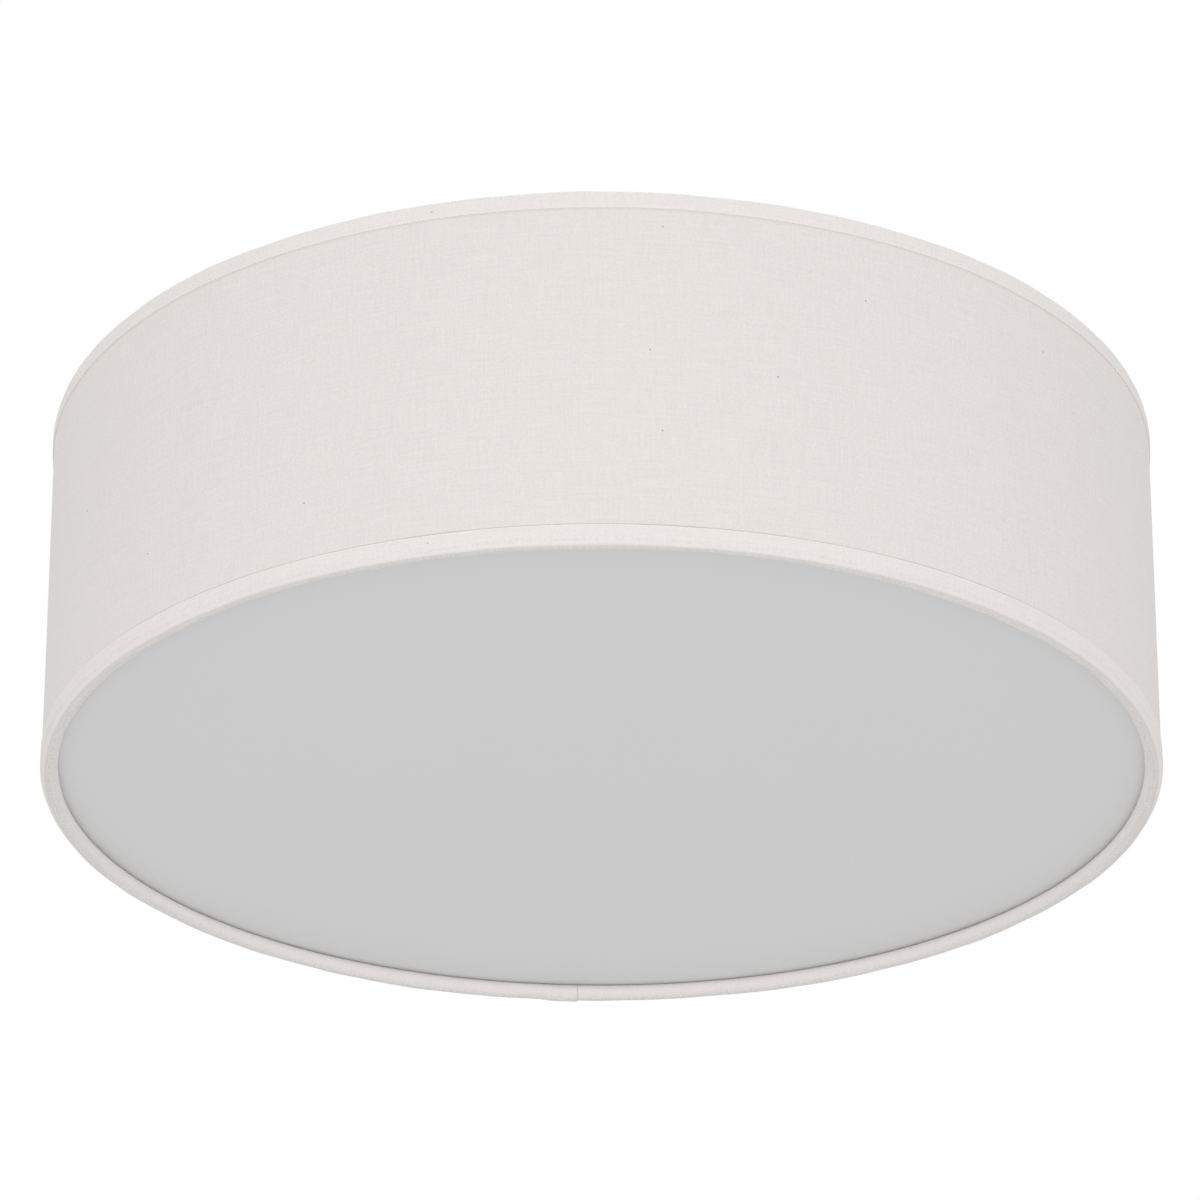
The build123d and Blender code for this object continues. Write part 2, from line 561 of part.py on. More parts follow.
def arm_rivets():
    """Their heads are outside, against the leg, and their tails inside the pan's wall."""
    seat = rod(ARM_LEG_OUTER, PAN_FACE, 0) - rod(PAN_RADIUS - PAN_WALL, PAN_FACE, 0)
    made = []
    for level in ARM_RIVET_LEVELS:
        lying = Pos(ARM_LEG_OUTER, 0, level) * Rot(0, -90, 0) * rivet(ARM_THICKNESS + PAN_WALL)
        shank = rod_x(RIVET_RADIUS, PAN_RADIUS - 2 * PAN_WALL, ARM_LEG_OUTER, z=level)
        made += around((lying - seat) + shank, ARM_ANGLES)
    return made


# ---------------------------------------------------------------- lampholders, along +X
def angle_bracket():
    """Foot under the pan's face, leg hanging down, with a round end about the nipple."""
    foot_end = ANGLE_LEG_RADIUS + ANGLE_FOOT_LENGTH
    foot_bottom = PAN_FACE - ANGLE_THICKNESS
    outline = Polyline(
        (ANGLE_LEG_RADIUS, PAN_FACE),
        (foot_end, PAN_FACE),
        (foot_end, foot_bottom),
        (ANGLE_OUTER_FACE, foot_bottom),
        (ANGLE_OUTER_FACE, HOLDER_AXIS_Z),
        (ANGLE_LEG_RADIUS, HOLDER_AXIS_Z),
        close=True,
    )
    angle = extrude(make_face(Plane.XZ * outline), ANGLE_WIDTH / 2, both=True)
    bends = angle.edges().filter_by(Axis.Y)
    inner = bends.sort_by_distance((ANGLE_OUTER_FACE, 0, foot_bottom))[:1]
    angle = fillet(inner, ANGLE_BEND)
    bends = angle.edges().filter_by(Axis.Y)
    outer = bends.sort_by_distance((ANGLE_LEG_RADIUS, 0, PAN_FACE))[:1]
    angle = fillet(outer, ANGLE_BEND + ANGLE_THICKNESS)
    angle += rod_x(ANGLE_WIDTH / 2, ANGLE_LEG_RADIUS, ANGLE_OUTER_FACE, z=HOLDER_AXIS_Z)
    angle -= rod_x(NIPPLE_RADIUS, ANGLE_LEG_RADIUS, ANGLE_OUTER_FACE, z=HOLDER_AXIS_Z)
    for x, y in angle_rivet_places():
        angle -= rod(RIVET_RADIUS, foot_bottom, PAN_FACE, x, y)
    return angle


def angle_rivets():
    grip = ANGLE_THICKNESS + PAN_WALL
    seat = PAN_FACE - ANGLE_THICKNESS
    placed = [Pos(x, y, seat) * rivet(grip) for x, y in angle_rivet_places()]
    return [turned_rivet for one in placed for turned_rivet in around(one, HOLDER_ANGLES)]


def nipple():
    tube = rod_x(NIPPLE_RADIUS, NIPPLE_START, NIPPLE_END, z=HOLDER_AXIS_Z)
    return tube - rod_x(NIPPLE_BORE_RADIUS, NIPPLE_START, NIPPLE_END, z=HOLDER_AXIS_Z)


def locknut():
    nut = hexagon(LOCKNUT_FLATS, 0, LOCKNUT_HEIGHT) - rod(NIPPLE_RADIUS, 0, LOCKNUT_HEIGHT)
    return Pos(ANGLE_LEG_RADIUS, 0, HOLDER_AXIS_Z) * Rot(0, -90, 0) * nut


def lampholder_cap():
    """The rear half of the lampholder's casing, necked down to the nipple, with grip ribs."""
    start = ANGLE_OUTER_FACE
    neck_end = start + HOLDER_NECK_LENGTH
    shoulder_end = neck_end + HOLDER_SHOULDER_LENGTH
    casing = turned_along_x([
        (start, NIPPLE_RADIUS),
        (start, HOLDER_NECK_RADIUS),
        (neck_end, HOLDER_NECK_RADIUS),
        (shoulder_end, HOLDER_RADIUS),
        (CAP_END, HOLDER_RADIUS),
        (CAP_END, HOLDER_INNER),
        (shoulder_end, HOLDER_INNER),
        (NIPPLE_END, HOLDER_NECK_RADIUS),
        (NIPPLE_END, NIPPLE_RADIUS),
    ], HOLDER_AXIS_Z)
    reach = HOLDER_RADIUS + RIB_HEIGHT - HOLDER_INNER - HOLDER_WALL / 2
    place = Pos((shoulder_end + CAP_END) / 2, 0, HOLDER_RADIUS + RIB_HEIGHT - reach / 2)
    rib = place * Box(CAP_END - shoulder_end, RIB_WIDTH, reach)
    ribs = [Rot(i * 360 / RIB_COUNT, 0, 0) * rib for i in range(RIB_COUNT)]
    return casing + [Pos(0, 0, HOLDER_AXIS_Z) * one for one in ribs]


def lampholder_skirt():
    """The front half of the casing, a plain tube round the screw shell."""
    tube = turned_along_x([
        (CAP_END, HOLDER_INNER),
        (CAP_END, HOLDER_RADIUS),
        (SKIRT_END, HOLDER_RADIUS),
        (SKIRT_END, HOLDER_INNER),
    ], HOLDER_AXIS_Z)
    return fillet(tube.edges().filter_by(GeomType.CIRCLE).sort_by(Axis.X)[-2:], HOLDER_LIP)


def lampholder_insert():
    """The insulating core that carries the contacts, with a pocket for the tongue."""
    pocket = INSERT_END - INSERT_POCKET_DEPTH
    return turned_along_x([
        (INSERT_START, 0),
        (INSERT_START, INSERT_RADIUS),
        (INSERT_END, INSERT_RADIUS),
        (INSERT_END, INSERT_POCKET_RADIUS),
        (pocket, INSERT_POCKET_RADIUS),
        (pocket, 0),
    ], HOLDER_AXIS_Z)


def screw_sleeve():
    """The brass shell that takes the bulb's screw cap."""
    outer = SLEEVE_INNER + SLEEVE_WALL
    end = INSERT_END + SLEEVE_LENGTH
    return turned_along_x([
        (INSERT_END, SLEEVE_INNER),
        (INSERT_END, outer),
        (end, outer),
        (end, SLEEVE_INNER),
    ], HOLDER_AXIS_Z)


def centre_tongue():
    """A bent brass tongue from the pocket's floor up to the bulb's end contact."""
    floor = INSERT_END - INSERT_POCKET_DEPTH
    reach = INSERT_POCKET_RADIUS - TONGUE_INSET
    bend = reach - TONGUE_RISE
    outline = Polyline(
        (floor, -reach),
        (floor + TONGUE_THICKNESS, -reach),
        (floor + TONGUE_THICKNESS, bend),
        (BULB_START - TONGUE_THICKNESS, -TONGUE_TIP),
        (BULB_START - TONGUE_THICKNESS, -2 * TONGUE_TIP),
        (BULB_START, -2 * TONGUE_TIP),
        (BULB_START, -TONGUE_TIP),
        (floor + 2 * TONGUE_THICKNESS, reach - TONGUE_THICKNESS),
        (floor, reach - TONGUE_THICKNESS),
        close=True,
    )
    tongue = extrude(make_face(Plane.XZ * outline), TONGUE_WIDTH / 2, both=True)
    return Pos(0, 0, HOLDER_AXIS_Z) * tongue


# ---------------------------------------------------------------- bulbs, along +X
def bulb_contact():
    """The end contact and its black insulator."""
    pip_end = BULB_START + BULB_PIP_HEIGHT
    end = pip_end + BULB_INSULATOR_HEIGHT
    return turned_along_x([
        (BULB_START, 0),
        (BULB_START, BULB_PIP_RADIUS),
        (pip_end, BULB_PIP_RADIUS),
        (end, BULB_INSULATOR_RADIUS),
        (end, 0),
    ], HOLDER_AXIS_Z)


def bulb_screw_cap():
    """The rolled metal cap, its thread drawn as rings."""
    half = BULB_THREAD_DEPTH / 2
    outline = Polyline(
        (BULB_CAP_START, 0),
        (BULB_CAP_START, BULB_INSULATOR_RADIUS),
        (BULB_THREAD_START, BULB_CAP_MIDDLE),
    ).edges()
    for turn in range(BULB_THREAD_TURNS):
        x = BULB_THREAD_START + turn * BULB_PITCH
        for quarter, side in ((0, half), (2, -half)):
            first = x + quarter * BULB_PITCH / 4
            outline += ThreePointArc(
                (first, BULB_CAP_MIDDLE),
                (first + BULB_PITCH / 4, BULB_CAP_MIDDLE + side),
                (first + BULB_PITCH / 2, BULB_CAP_MIDDLE),
            ).edges()
    outline += Polyline(
        (BULB_THREAD_END, BULB_CAP_MIDDLE),
        (BULB_CAP_END, BULB_CAP_MIDDLE),
        (BULB_CAP_END, BULB_CAP_INNER),
        (BULB_THREAD_START, BULB_CAP_INNER),
        (BULB_CAP_START + BULB_CAP_WALL, BULB_INSULATOR_RADIUS - BULB_CAP_WALL),
        (BULB_CAP_START + BULB_CAP_WALL, 0),
        (BULB_CAP_START, 0),
    ).edges()
    return Pos(0, 0, HOLDER_AXIS_Z) * revolve(make_face(outline), Axis.X)


def bulb_housing():
    """The moulded cone between screw cap and globe, with its neck in the cap."""
    plug_start = BULB_CAP_END - BULB_PLUG_LENGTH
    neck = BULB_CAP_MIDDLE + BULB_NECK_STEP
    neck_end = BULB_CAP_END + BULB_NECK_LENGTH
    wall = BULB_HOUSING_WALL
    return turned_along_x([
        (plug_start, BULB_CAP_INNER),
        (BULB_CAP_END, BULB_CAP_INNER),
        (BULB_CAP_END, neck),
        (neck_end, neck),
        (BULB_RIM, BULB_SHOULDER),
        (BULB_RIM, 0),
        (BULB_RIM - wall, 0),
        (BULB_RIM - wall, BULB_SHOULDER - 2 * wall),
        (neck_end, BULB_CAP_INNER - wall),
        (plug_start, BULB_CAP_INNER - wall),
    ], HOLDER_AXIS_Z)


def bulb_globe():
    """The frosted dome: most of a ball, closed by the housing's rim."""
    ball = Sphere(BULB_GLOBE_RADIUS) - Sphere(BULB_GLOBE_RADIUS - BULB_GLOBE_WALL)
    keep = rod_x(2 * BULB_GLOBE_RADIUS, BULB_RIM - GLOBE_MIDDLE, 2 * BULB_GLOBE_RADIUS)
    return Pos(GLOBE_MIDDLE, 0, HOLDER_AXIS_Z) * (ball & keep)


# ---------------------------------------------------------------- wiring
def clamp_screw_places():
    return [(x, BLOCK_Y + side * CLAMP_SCREW_SPACING / 2) for x in POLES for side in (-1, 1)]


def terminal_block():
    block = Pos(0, BLOCK_Y, CLAMP_Z) * Box(BLOCK_LENGTH, BLOCK_DEPTH, BLOCK_HEIGHT)
    for x in POLES:
        block -= rod_y(CLAMP_RADIUS, BLOCK_FRONT, BLOCK_BACK, x, CLAMP_Z)
    for x, y in clamp_screw_places():
        block -= rod(CLAMP_SCREW_HEAD_RADIUS, CLAMP_Z, BLOCK_TOP, x, y)
    return block - rod(FIXING_SCREW_RADIUS, PAN_FLOOR, BLOCK_TOP, FIXING_X, FIXING_Y)


def terminal_clamps():
    start, end = BLOCK_Y - CLAMP_LENGTH / 2, BLOCK_Y + CLAMP_LENGTH / 2
    made = []
    for x in POLES:
        tube = rod_y(CLAMP_RADIUS, start, end, x, CLAMP_Z)
        tube -= rod_y(CLAMP_BORE_RADIUS, start, end, x, CLAMP_Z)
        for place_x, place_y in clamp_screw_places():
            if place_x == x:
                tube -= rod(CLAMP_SCREW_RADIUS, CLAMP_Z, BLOCK_TOP, place_x, place_y)
        made.append(tube)
    return made


def slotted_head(radius, low, high, slot):
    """A cylinder head with a driver slot half as deep as the head."""
    depth = (high - low) / 2
    return rod(radius, low, high) - Pos(0, 0, high - depth / 2) * Box(3 * radius, slot, depth)


def terminal_screws():
    """Six clamp screws, and the long screw and nut that hold the block to the pan."""
    head_top = BLOCK_TOP - CLAMP_SCREW_SUNK
    head_bottom = head_top - CLAMP_SCREW_HEAD_HEIGHT
    clamp_screw = rod(CLAMP_SCREW_RADIUS, CLAMP_Z + CLAMP_BORE_RADIUS, head_bottom)
    clamp_screw += slotted_head(CLAMP_SCREW_HEAD_RADIUS, head_bottom, head_top, CLAMP_SCREW_SLOT)
    made = [Pos(x, y, 0) * clamp_screw for x, y in clamp_screw_places()]
    nut_bottom = PAN_FACE - FIXING_NUT_HEIGHT
    fixing_top = BLOCK_TOP + FIXING_SCREW_HEAD_HEIGHT
    screw = rod(FIXING_SCREW_RADIUS, nut_bottom, BLOCK_TOP)
    screw += slotted_head(FIXING_SCREW_HEAD_RADIUS, BLOCK_TOP, fixing_top, SCREW_SLOT)
    nut = hexagon(FIXING_NUT_FLATS, nut_bottom, PAN_FACE)
    nut -= rod(FIXING_SCREW_RADIUS, nut_bottom, PAN_FACE)
    return made + [Pos(FIXING_X, FIXING_Y, 0) * one for one in (screw, nut)]


def ferrule(x, face, outward):
    """A crimped end: its collar at the block's face and its bare tip inside the clamp."""
    collar_end = face + outward * FERRULE_LENGTH
    tip_end = face - outward * FERRULE_TIP_LENGTH
    collar = rod_y(FERRULE_RADIUS, min(face, collar_end), max(face, collar_end), x, CLAMP_Z)
    tip = rod_y(FERRULE_TIP_RADIUS, min(face, tip_end), max(face, tip_end), x, CLAMP_Z)
    return collar + tip


def crimp_ferrules():
    live, earth, neutral = POLES
    return [
        ferrule(live, BLOCK_FRONT, -1),
        ferrule(neutral, BLOCK_FRONT, -1),
        ferrule(earth, BLOCK_BACK, 1),
    ]


def wire(points, radii):
    """A round wire along straight runs joined by arcs."""
    path = FilletPolyline(*points, radius=radii)
    start = Plane(origin=path @ 0, z_dir=path % 0)
    round_wire = sweep(start * Circle(WIRE_RADIUS), path=path)
    share = round_wire.volume / (math.pi * WIRE_RADIUS ** 2 * path.length)
    print(f"wire {path.length:.1f} mm long, radii {radii}, volume / (section x length) {share:.4f}")
    return round_wire


def holder_wire(holder, side, pole, spot, height):
    """From a ferrule, down through the grommet and out through one lampholder's nipple.

    side is +1 or -1 across the lampholder's axis, spot the wire's angle at the back of
    the ferrule, and height where it crosses the pan, above the pan's floor.
    """
    angle = math.radians(HOLDER_ANGLES[holder])
    out = (math.cos(angle), math.sin(angle))
    across = (-out[1], out[0])

    def place(along, z):
        x = out[0] * along + across[0] * side * WIRE_SIDE
        y = out[1] * along + across[1] * side * WIRE_SIDE
        return (x, y, z)

    spot_x = pole + WIRE_SPOT_RADIUS * math.cos(math.radians(spot))
    spot_z = CLAMP_Z + WIRE_SPOT_RADIUS * math.sin(math.radians(spot))
    points = [
        (spot_x, FERRULE_FRONT, spot_z),
        (spot_x, FERRULE_FRONT - WIRE_STRAIGHT, spot_z),
        place(WIRE_ALONG, PAN_FLOOR + height),
        place(WIRE_ALONG, HOLDER_AXIS_Z),
        place(INSERT_START, HOLDER_AXIS_Z),
    ]
    return wire(points, [WIRE_TIGHT_BEND, WIRE_TIGHT_BEND, WIRE_BEND])


def live_wires():
    pole = POLES[0]
    return [
        holder_wire(0, 1, pole, 270, LOW_WIRE),
        holder_wire(1, 1, pole, 150, HIGH_WIRE),
        holder_wire(2, 1, pole, 30, SECOND_WIRE),
    ]


def neutral_wires():
    pole = POLES[2]
    return [
        holder_wire(0, -1, pole, 270, LOW_WIRE),
        holder_wire(1, -1, pole, 150, THIRD_WIRE),
        holder_wire(2, -1, pole, 30, HIGH_WIRE),
    ]


def earth_wire():
    """From the middle pole round to the tag under the earth screw."""
    tag_end = EARTH_SCREW_X + EARTH_TAG_LENGTH
    height = PAN_FLOOR + WIRE_RADIUS
    turn_y = FERRULE_BACK + 2 * WIRE_STRAIGHT
    turn_x = tag_end + 3 * WIRE_TIGHT_BEND
    points = [
        (POLES[1], FERRULE_BACK, CLAMP_Z),
        (POLES[1], turn_y, CLAMP_Z),
        (turn_x, turn_y, height),
        (turn_x, EARTH_SCREW_Y, height),
        (tag_end, EARTH_SCREW_Y, height),
    ]
    return wire(points, [WIRE_TIGHT_BEND, WIRE_TIGHT_BEND, WIRE_TIGHT_BEND])


def earth_screw():
    """Screw, nut and ring tag, the pan's protective earth point."""
    tag_top = PAN_FLOOR + EARTH_TAG_THICKNESS
    nut_bottom = PAN_FACE - FIXING_NUT_HEIGHT
    screw = rod(EARTH_SCREW_RADIUS, nut_bottom, tag_top)
    screw += slotted_head(EARTH_HEAD_RADIUS, tag_top, tag_top + EARTH_HEAD_HEIGHT, SCREW_SLOT)
    nut = hexagon(2 * EARTH_HEAD_RADIUS, nut_bottom, PAN_FACE)
    nut -= rod(EARTH_SCREW_RADIUS, nut_bottom, PAN_FACE)
    tail = Box(EARTH_TAG_LENGTH, 2 * WIRE_RADIUS, EARTH_TAG_THICKNESS)
    tag = rod(EARTH_TAG_RADIUS, PAN_FLOOR, tag_top)
    tag += Pos(EARTH_TAG_LENGTH / 2, 0, (PAN_FLOOR + tag_top) / 2) * tail
    tag -= rod(EARTH_SCREW_RADIUS, PAN_FLOOR, tag_top)
    return [Pos(EARTH_SCREW_X, EARTH_SCREW_Y, 0) * one for one in (screw, nut, tag)]


def grommet():
    """A rubber bush in the pan's middle hole, gripping its edge between two flanges."""
    top = PAN_FLOOR + GROMMET_FLANGE_THICKNESS
    bottom = PAN_FACE - GROMMET_FLANGE_THICKNESS
    return turned([
        (GROMMET_BORE_RADIUS, bottom),
        (GROMMET_FLANGE_RADIUS, bottom),
        (GROMMET_FLANGE_RADIUS, PAN_FACE),
        (GROMMET_HOLE_RADIUS, PAN_FACE),
        (GROMMET_HOLE_RADIUS, PAN_FLOOR),
        (GROMMET_FLANGE_RADIUS, PAN_FLOOR),
        (GROMMET_FLANGE_RADIUS, top),
        (GROMMET_BORE_RADIUS, top),
    ])


# ---------------------------------------------------------------- the whole lamp
def all_nodes():
    """Every sub-part by name, in place."""
    nodes = {
        "ceiling_bracket": ceiling_bracket(),
        "pan_studs": group(pan_studs()),
        "base_pan": base_pan(),
        "cap_nuts": group([cap_nut(side) for side in (-1, 1)]),
        "cap_washers": group([cap_washer(side) for side in (-1, 1)]),
        "arm_rivets": group(arm_rivets()),
        "hanger_studs": group(around(hanger_stud(), ARM_ANGLES)),
        "angle_rivets": group(angle_rivets()),
        "holder_nipples": group(around(nipple(), HOLDER_ANGLES)),
        "holder_locknuts": group(around(locknut(), HOLDER_ANGLES)),
        "lampholder_inserts": group(around(lampholder_insert(), HOLDER_ANGLES)),
        "screw_sleeves": group(around(screw_sleeve(), HOLDER_ANGLES)),
        "centre_tongues": group(around(centre_tongue(), HOLDER_ANGLES)),
        "terminal_block": terminal_block(),
        "terminal_clamps": group(terminal_clamps()),
        "terminal_screws": group(terminal_screws()),
        "crimp_ferrules": group(crimp_ferrules()),
        "live_wires": group(live_wires()),
        "neutral_wires": group(neutral_wires()),
        "earth_wire": earth_wire(),
        "earth_screw": group(earth_screw()),
        "wire_grommet": grommet(),
        "upper_ring": shade_hoop(UPPER_HOOP),
        "lower_ring": shade_hoop(LOWER_HOOP),
        "hanging_tabs": group(around(hanging_tab(), ARM_ANGLES)),
        "shade_liner": shade_tube(LINER_OUTER, LINER_INNER),
        "shade_fabric": shade_fabric(),
        "top_trim": top_trim(),
        "bottom_trim": bottom_trim(),
        "diffuser": diffuser(),
    }
    at_each_arm = {
        "support_arm": support_arm(),
        "hanger_washer": hanger_washer(),
        "thumb_nut": thumb_nut(),
    }
    at_each_holder = {
        "angle_bracket": angle_bracket(),
        "lampholder_cap": lampholder_cap(),
        "lampholder_skirt": lampholder_skirt(),
        "bulb_contact": bulb_contact(),
        "bulb_screw_cap": bulb_screw_cap(),
        "bulb_housing": bulb_housing(),
        "bulb_globe": bulb_globe(),
    }
    for shapes, angles in ((at_each_arm, ARM_ANGLES), (at_each_holder, HOLDER_ANGLES)):
        for name, shape in shapes.items():
            for number, turned_shape in enumerate(around(shape, angles), 1):
                nodes[f"{name}_{number}"] = turned_shape
    return nodes


os.makedirs("parts", exist_ok=True)
for name, shape in all_nodes().items():
    export_step(shape, f"parts/{name}.step")
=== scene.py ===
import math

import bpy
import numpy as np
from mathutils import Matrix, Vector


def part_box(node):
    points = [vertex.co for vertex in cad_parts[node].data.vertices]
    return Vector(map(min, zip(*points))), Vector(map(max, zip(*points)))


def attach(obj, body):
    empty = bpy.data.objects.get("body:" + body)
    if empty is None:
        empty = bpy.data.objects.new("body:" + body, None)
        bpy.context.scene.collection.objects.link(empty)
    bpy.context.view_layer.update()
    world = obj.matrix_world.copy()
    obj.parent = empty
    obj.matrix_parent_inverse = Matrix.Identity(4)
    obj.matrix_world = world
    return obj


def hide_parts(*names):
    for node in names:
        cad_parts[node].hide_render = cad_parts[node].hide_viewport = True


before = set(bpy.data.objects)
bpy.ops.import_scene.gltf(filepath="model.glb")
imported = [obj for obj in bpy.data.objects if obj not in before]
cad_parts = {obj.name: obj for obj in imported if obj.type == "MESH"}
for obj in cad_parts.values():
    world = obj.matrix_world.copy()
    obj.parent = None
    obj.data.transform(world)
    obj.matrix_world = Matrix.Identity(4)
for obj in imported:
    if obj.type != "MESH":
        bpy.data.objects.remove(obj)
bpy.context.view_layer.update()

bl_info = {
    "name": "Cloth drum ceiling light",
    "version": (1, 0, 0),
    "blender": (4, 5, 0),
    "location": "3D View > Sidebar > Ceiling light",
    "description": "Cloth, finishes and studio for a drum ceiling light on a packed frame",
    "category": "Object",
}

COLLAR_LOW, COLLAR_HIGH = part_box("top_trim")
DRUM_RADIUS = COLLAR_HIGH.x
RIM_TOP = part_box("bottom_trim")[1].z   # where the lower tape's cut edge lies on the wall

# Where cover and tapes are lapped, on the far side.
BACK_SEAM = math.radians(92.7)
LAP_EASE = 0.007    # over which a lapped layer comes down to the wall
LAP_LIFT = 1.02     # how high it lies on its own hidden end, in thicknesses

# The tapes' wrap round the hoops' wire, in degrees. The lower one is tucked in further.
LOWER_WRAP = 225
UPPER_WRAP = 120
ARC_STEP = 6        # degrees between points on a bend

# Places across a tape's flat cut, measured from its cut edge on the wall.
FOLD = 0.0068                    # where it turns in past the wall
UNEVEN_FROM = 0.004              # a hand folds it unevenly from here,
UNEVEN_TO = 0.0162               # to here,
UNEVEN_EASE = 0.003              # coming and going over this width
EDGE_STRAY = 0.00022             # how far its cut edge runs up and down

# A crease where the tapes are folded. On the lower rim it is a second lip, front right.
CREASE_ANGLE = 309               # degrees round the drum, and how many it spreads
CREASE_SPREAD = 13
CREASE_PLACE = FOLD + 0.0042     # across the cut, with its width and height
CREASE_WIDTH = 0.0007
CREASE_HEIGHT = 0.0006

# Painted highlights and shade along lines on the tapes: X along or Y across the cut,
# place, width and brightness.
TAPE_LINES = (
    ("Y", 0.0, 0.0006, 1.05),       # a painted highlight along the cut edge
    ("Y", 0.0072, 0.0013, 1.06),    # a painted highlight along the fold
    ("Y", 0.0140, 0.0045, 1.07),    # painted light that brightens the inner side
    ("Y", 0.0082, 0.0005, 0.93),    # painted shade in the dip between fold and wire
    ("X", 0.0001, 0.0005, 0.8))     # the shade beside the joint

# The pip of a bulb's contact lies this near the lamp's upright middle line.
PIP_REACH = 0.0581

# The studio, in metres. The camera stands in front of the lamp, below it.
CAMERA_PLACE = Vector((-0.0006, -2.412, -1.2298))
CAMERA_AIM = Vector((-0.0006, -0.0038, -0.0690))
SENSOR_WIDTH = 36                # millimetres
SOFTBOX_PLACE = Vector((0, -3.0, -1.6))
SOFTBOX_AIM = Vector((0, 0, -0.07))
SOFTBOX_SIZE = 2.2
FLOOR_SIZE = 30
FLOOR_GLOW = 0.8                 # share of plain white in the floor as the camera sees it


def linear(code):
    """An sRGB hex colour as the linear colour that shaders take."""
    shares = [int(code[i:i + 2], 16) / 255 for i in (1, 3, 5)]
    return [s / 12.92 if s <= 0.04045 else ((s + 0.055) / 1.055) ** 2.4 for s in shares] + [1.0]


def per_metre(millimetres):
    """How often a pattern of this size repeats in a metre, as texture scales want it."""
    return 1000 / millimetres


# ---------------------------------------------------------------- settings
class ClothSettings(bpy.types.PropertyGroup):
    cover_colour: bpy.props.FloatVectorProperty(
        name="Cover colour", description="Undyed off-white cotton of the wall",
        subtype="COLOR", size=4, min=0, max=1, default=linear("#E9E4E1"))
    tape_colour: bpy.props.FloatVectorProperty(
        name="Tape colour", description="The same cotton, folded over both rims",
        subtype="COLOR", size=4, min=0, max=1, default=linear("#EEE9E6"))
    thickness: bpy.props.FloatProperty(
        name="Cloth thickness", description="Of cover and tapes",
        subtype="DISTANCE", unit="LENGTH", min=0.0002, max=0.001, default=0.0005)
    lap: bpy.props.FloatProperty(
        name="Lap", description="How far cover and tapes overlap themselves at the back",
        subtype="DISTANCE", unit="LENGTH", min=0.004, max=0.02, default=0.010)
    fold: bpy.props.FloatProperty(
        name="Fold", description="Outside radius where the tapes turn in past the wall",
        subtype="DISTANCE", unit="LENGTH", min=0.001, max=0.004, default=0.0034)
    waviness: bpy.props.FloatProperty(
        name="Waviness", description="How far the hand-folded tape wanders on the rim",
        subtype="DISTANCE", unit="LENGTH", min=0, max=0.001, default=0.0003)


class FinishSettings(bpy.types.PropertyGroup):
    opal_colour: bpy.props.FloatVectorProperty(
        name="Opal plate", description="Unlit opal acrylic",
        subtype="COLOR", size=4, min=0, max=1, default=linear("#E2E2E2"))
    enamel_colour: bpy.props.FloatVectorProperty(
        name="Powder coat", description="Pan, arms, hoops and brackets",
        subtype="COLOR", size=4, min=0, max=1, default=linear("#EBEAE6"))
    holder_colour: bpy.props.FloatVectorProperty(
        name="Lampholders", description="Moulded heat-resistant resin",
        subtype="COLOR", size=4, min=0, max=1, default=linear("#E9E7DF"))


class StudioSettings(bpy.types.PropertyGroup):
    floor_drop: bpy.props.FloatProperty(
        name="Floor", description="Below the ceiling",
        subtype="DISTANCE", unit="LENGTH", min=2, max=8, default=4.5)
    surround: bpy.props.FloatProperty(
        name="Surround", description="Strength of the even light from all round",
        min=0, max=2, default=0.88)
    front_light: bpy.props.FloatProperty(
        name="Front light", description="Watts of the soft light beside the camera",
        min=0, max=400, default=26)
    lens: bpy.props.FloatProperty(
        name="Lens", description="Focal length on a 36 mm sensor, in millimetres",
        min=20, max=400, default=197.2)


# ---------------------------------------------------------------- finishes
def node(tree, kind, settings=None, links=None):
    """Adds a node. settings go to its properties or sockets by name, links join its sockets."""
    made = tree.nodes.new(kind)
    for key, value in (settings or {}).items():
        if isinstance(key, str) and hasattr(made, key):
            setattr(made, key, value)
        else:
            made.inputs[key].default_value = value
    for key, source in (links or {}).items():
        tree.links.new(source, made.inputs[key])
    return made


def finish(name, settings):
    """A new material with these settings on its shader's own sockets."""
    material = bpy.data.materials.new(name)
    material.use_nodes = True
    shader = material.node_tree.nodes["Principled BSDF"]
    for key, value in settings.items():
        shader.inputs[key].default_value = value
    return material, material.node_tree, shader


def toned(colour, share):
    """The same colour, darker where the share is under 1 and lighter where it is over."""
    return [min(1, c * share) for c in colour[:3]] + [1.0]


def ramp(tree, factor, stops):
    """A colour ramp through (place, colour) stops."""
    made = node(tree, "ShaderNodeValToRGB", {}, {"Fac": factor})
    elements = made.color_ramp.elements
    while len(elements) < len(stops):
        elements.new(0.5)
    for element, (place, colour) in zip(elements, stops):
        element.position = place
        element.color = colour
    return made.outputs["Color"]


def math_node(tree, operation, *values):
    """One step of arithmetic between sockets or numbers."""
    made = node(tree, "ShaderNodeMath", {"operation": operation})
    for index, value in enumerate(values):
        if isinstance(value, (int, float)):
            made.inputs[index].default_value = value
        else:
            tree.links.new(value, made.inputs[index])
    return made.outputs[0]


def rescaled(tree, value, before, after, easing="LINEAR"):
    """A socket's values moved from one range to another, and held at both ends."""
    return node(tree, "ShaderNodeMapRange", {
        "interpolation_type": easing, "From Min": before[0], "From Max": before[1],
        "To Min": after[0], "To Max": after[1]}, {"Value": value}).outputs["Result"]


def laid_over(tree, shade, share, colour):
    """A colour laid over a shade, fully where the share is 1."""
    # In a colour mix, socket 0 is the share, and 6 and 7 are the two colours.
    return node(tree, "ShaderNodeMix", {"data_type": "RGBA", 7: colour},
                {0: share, 6: shade}).outputs[2]


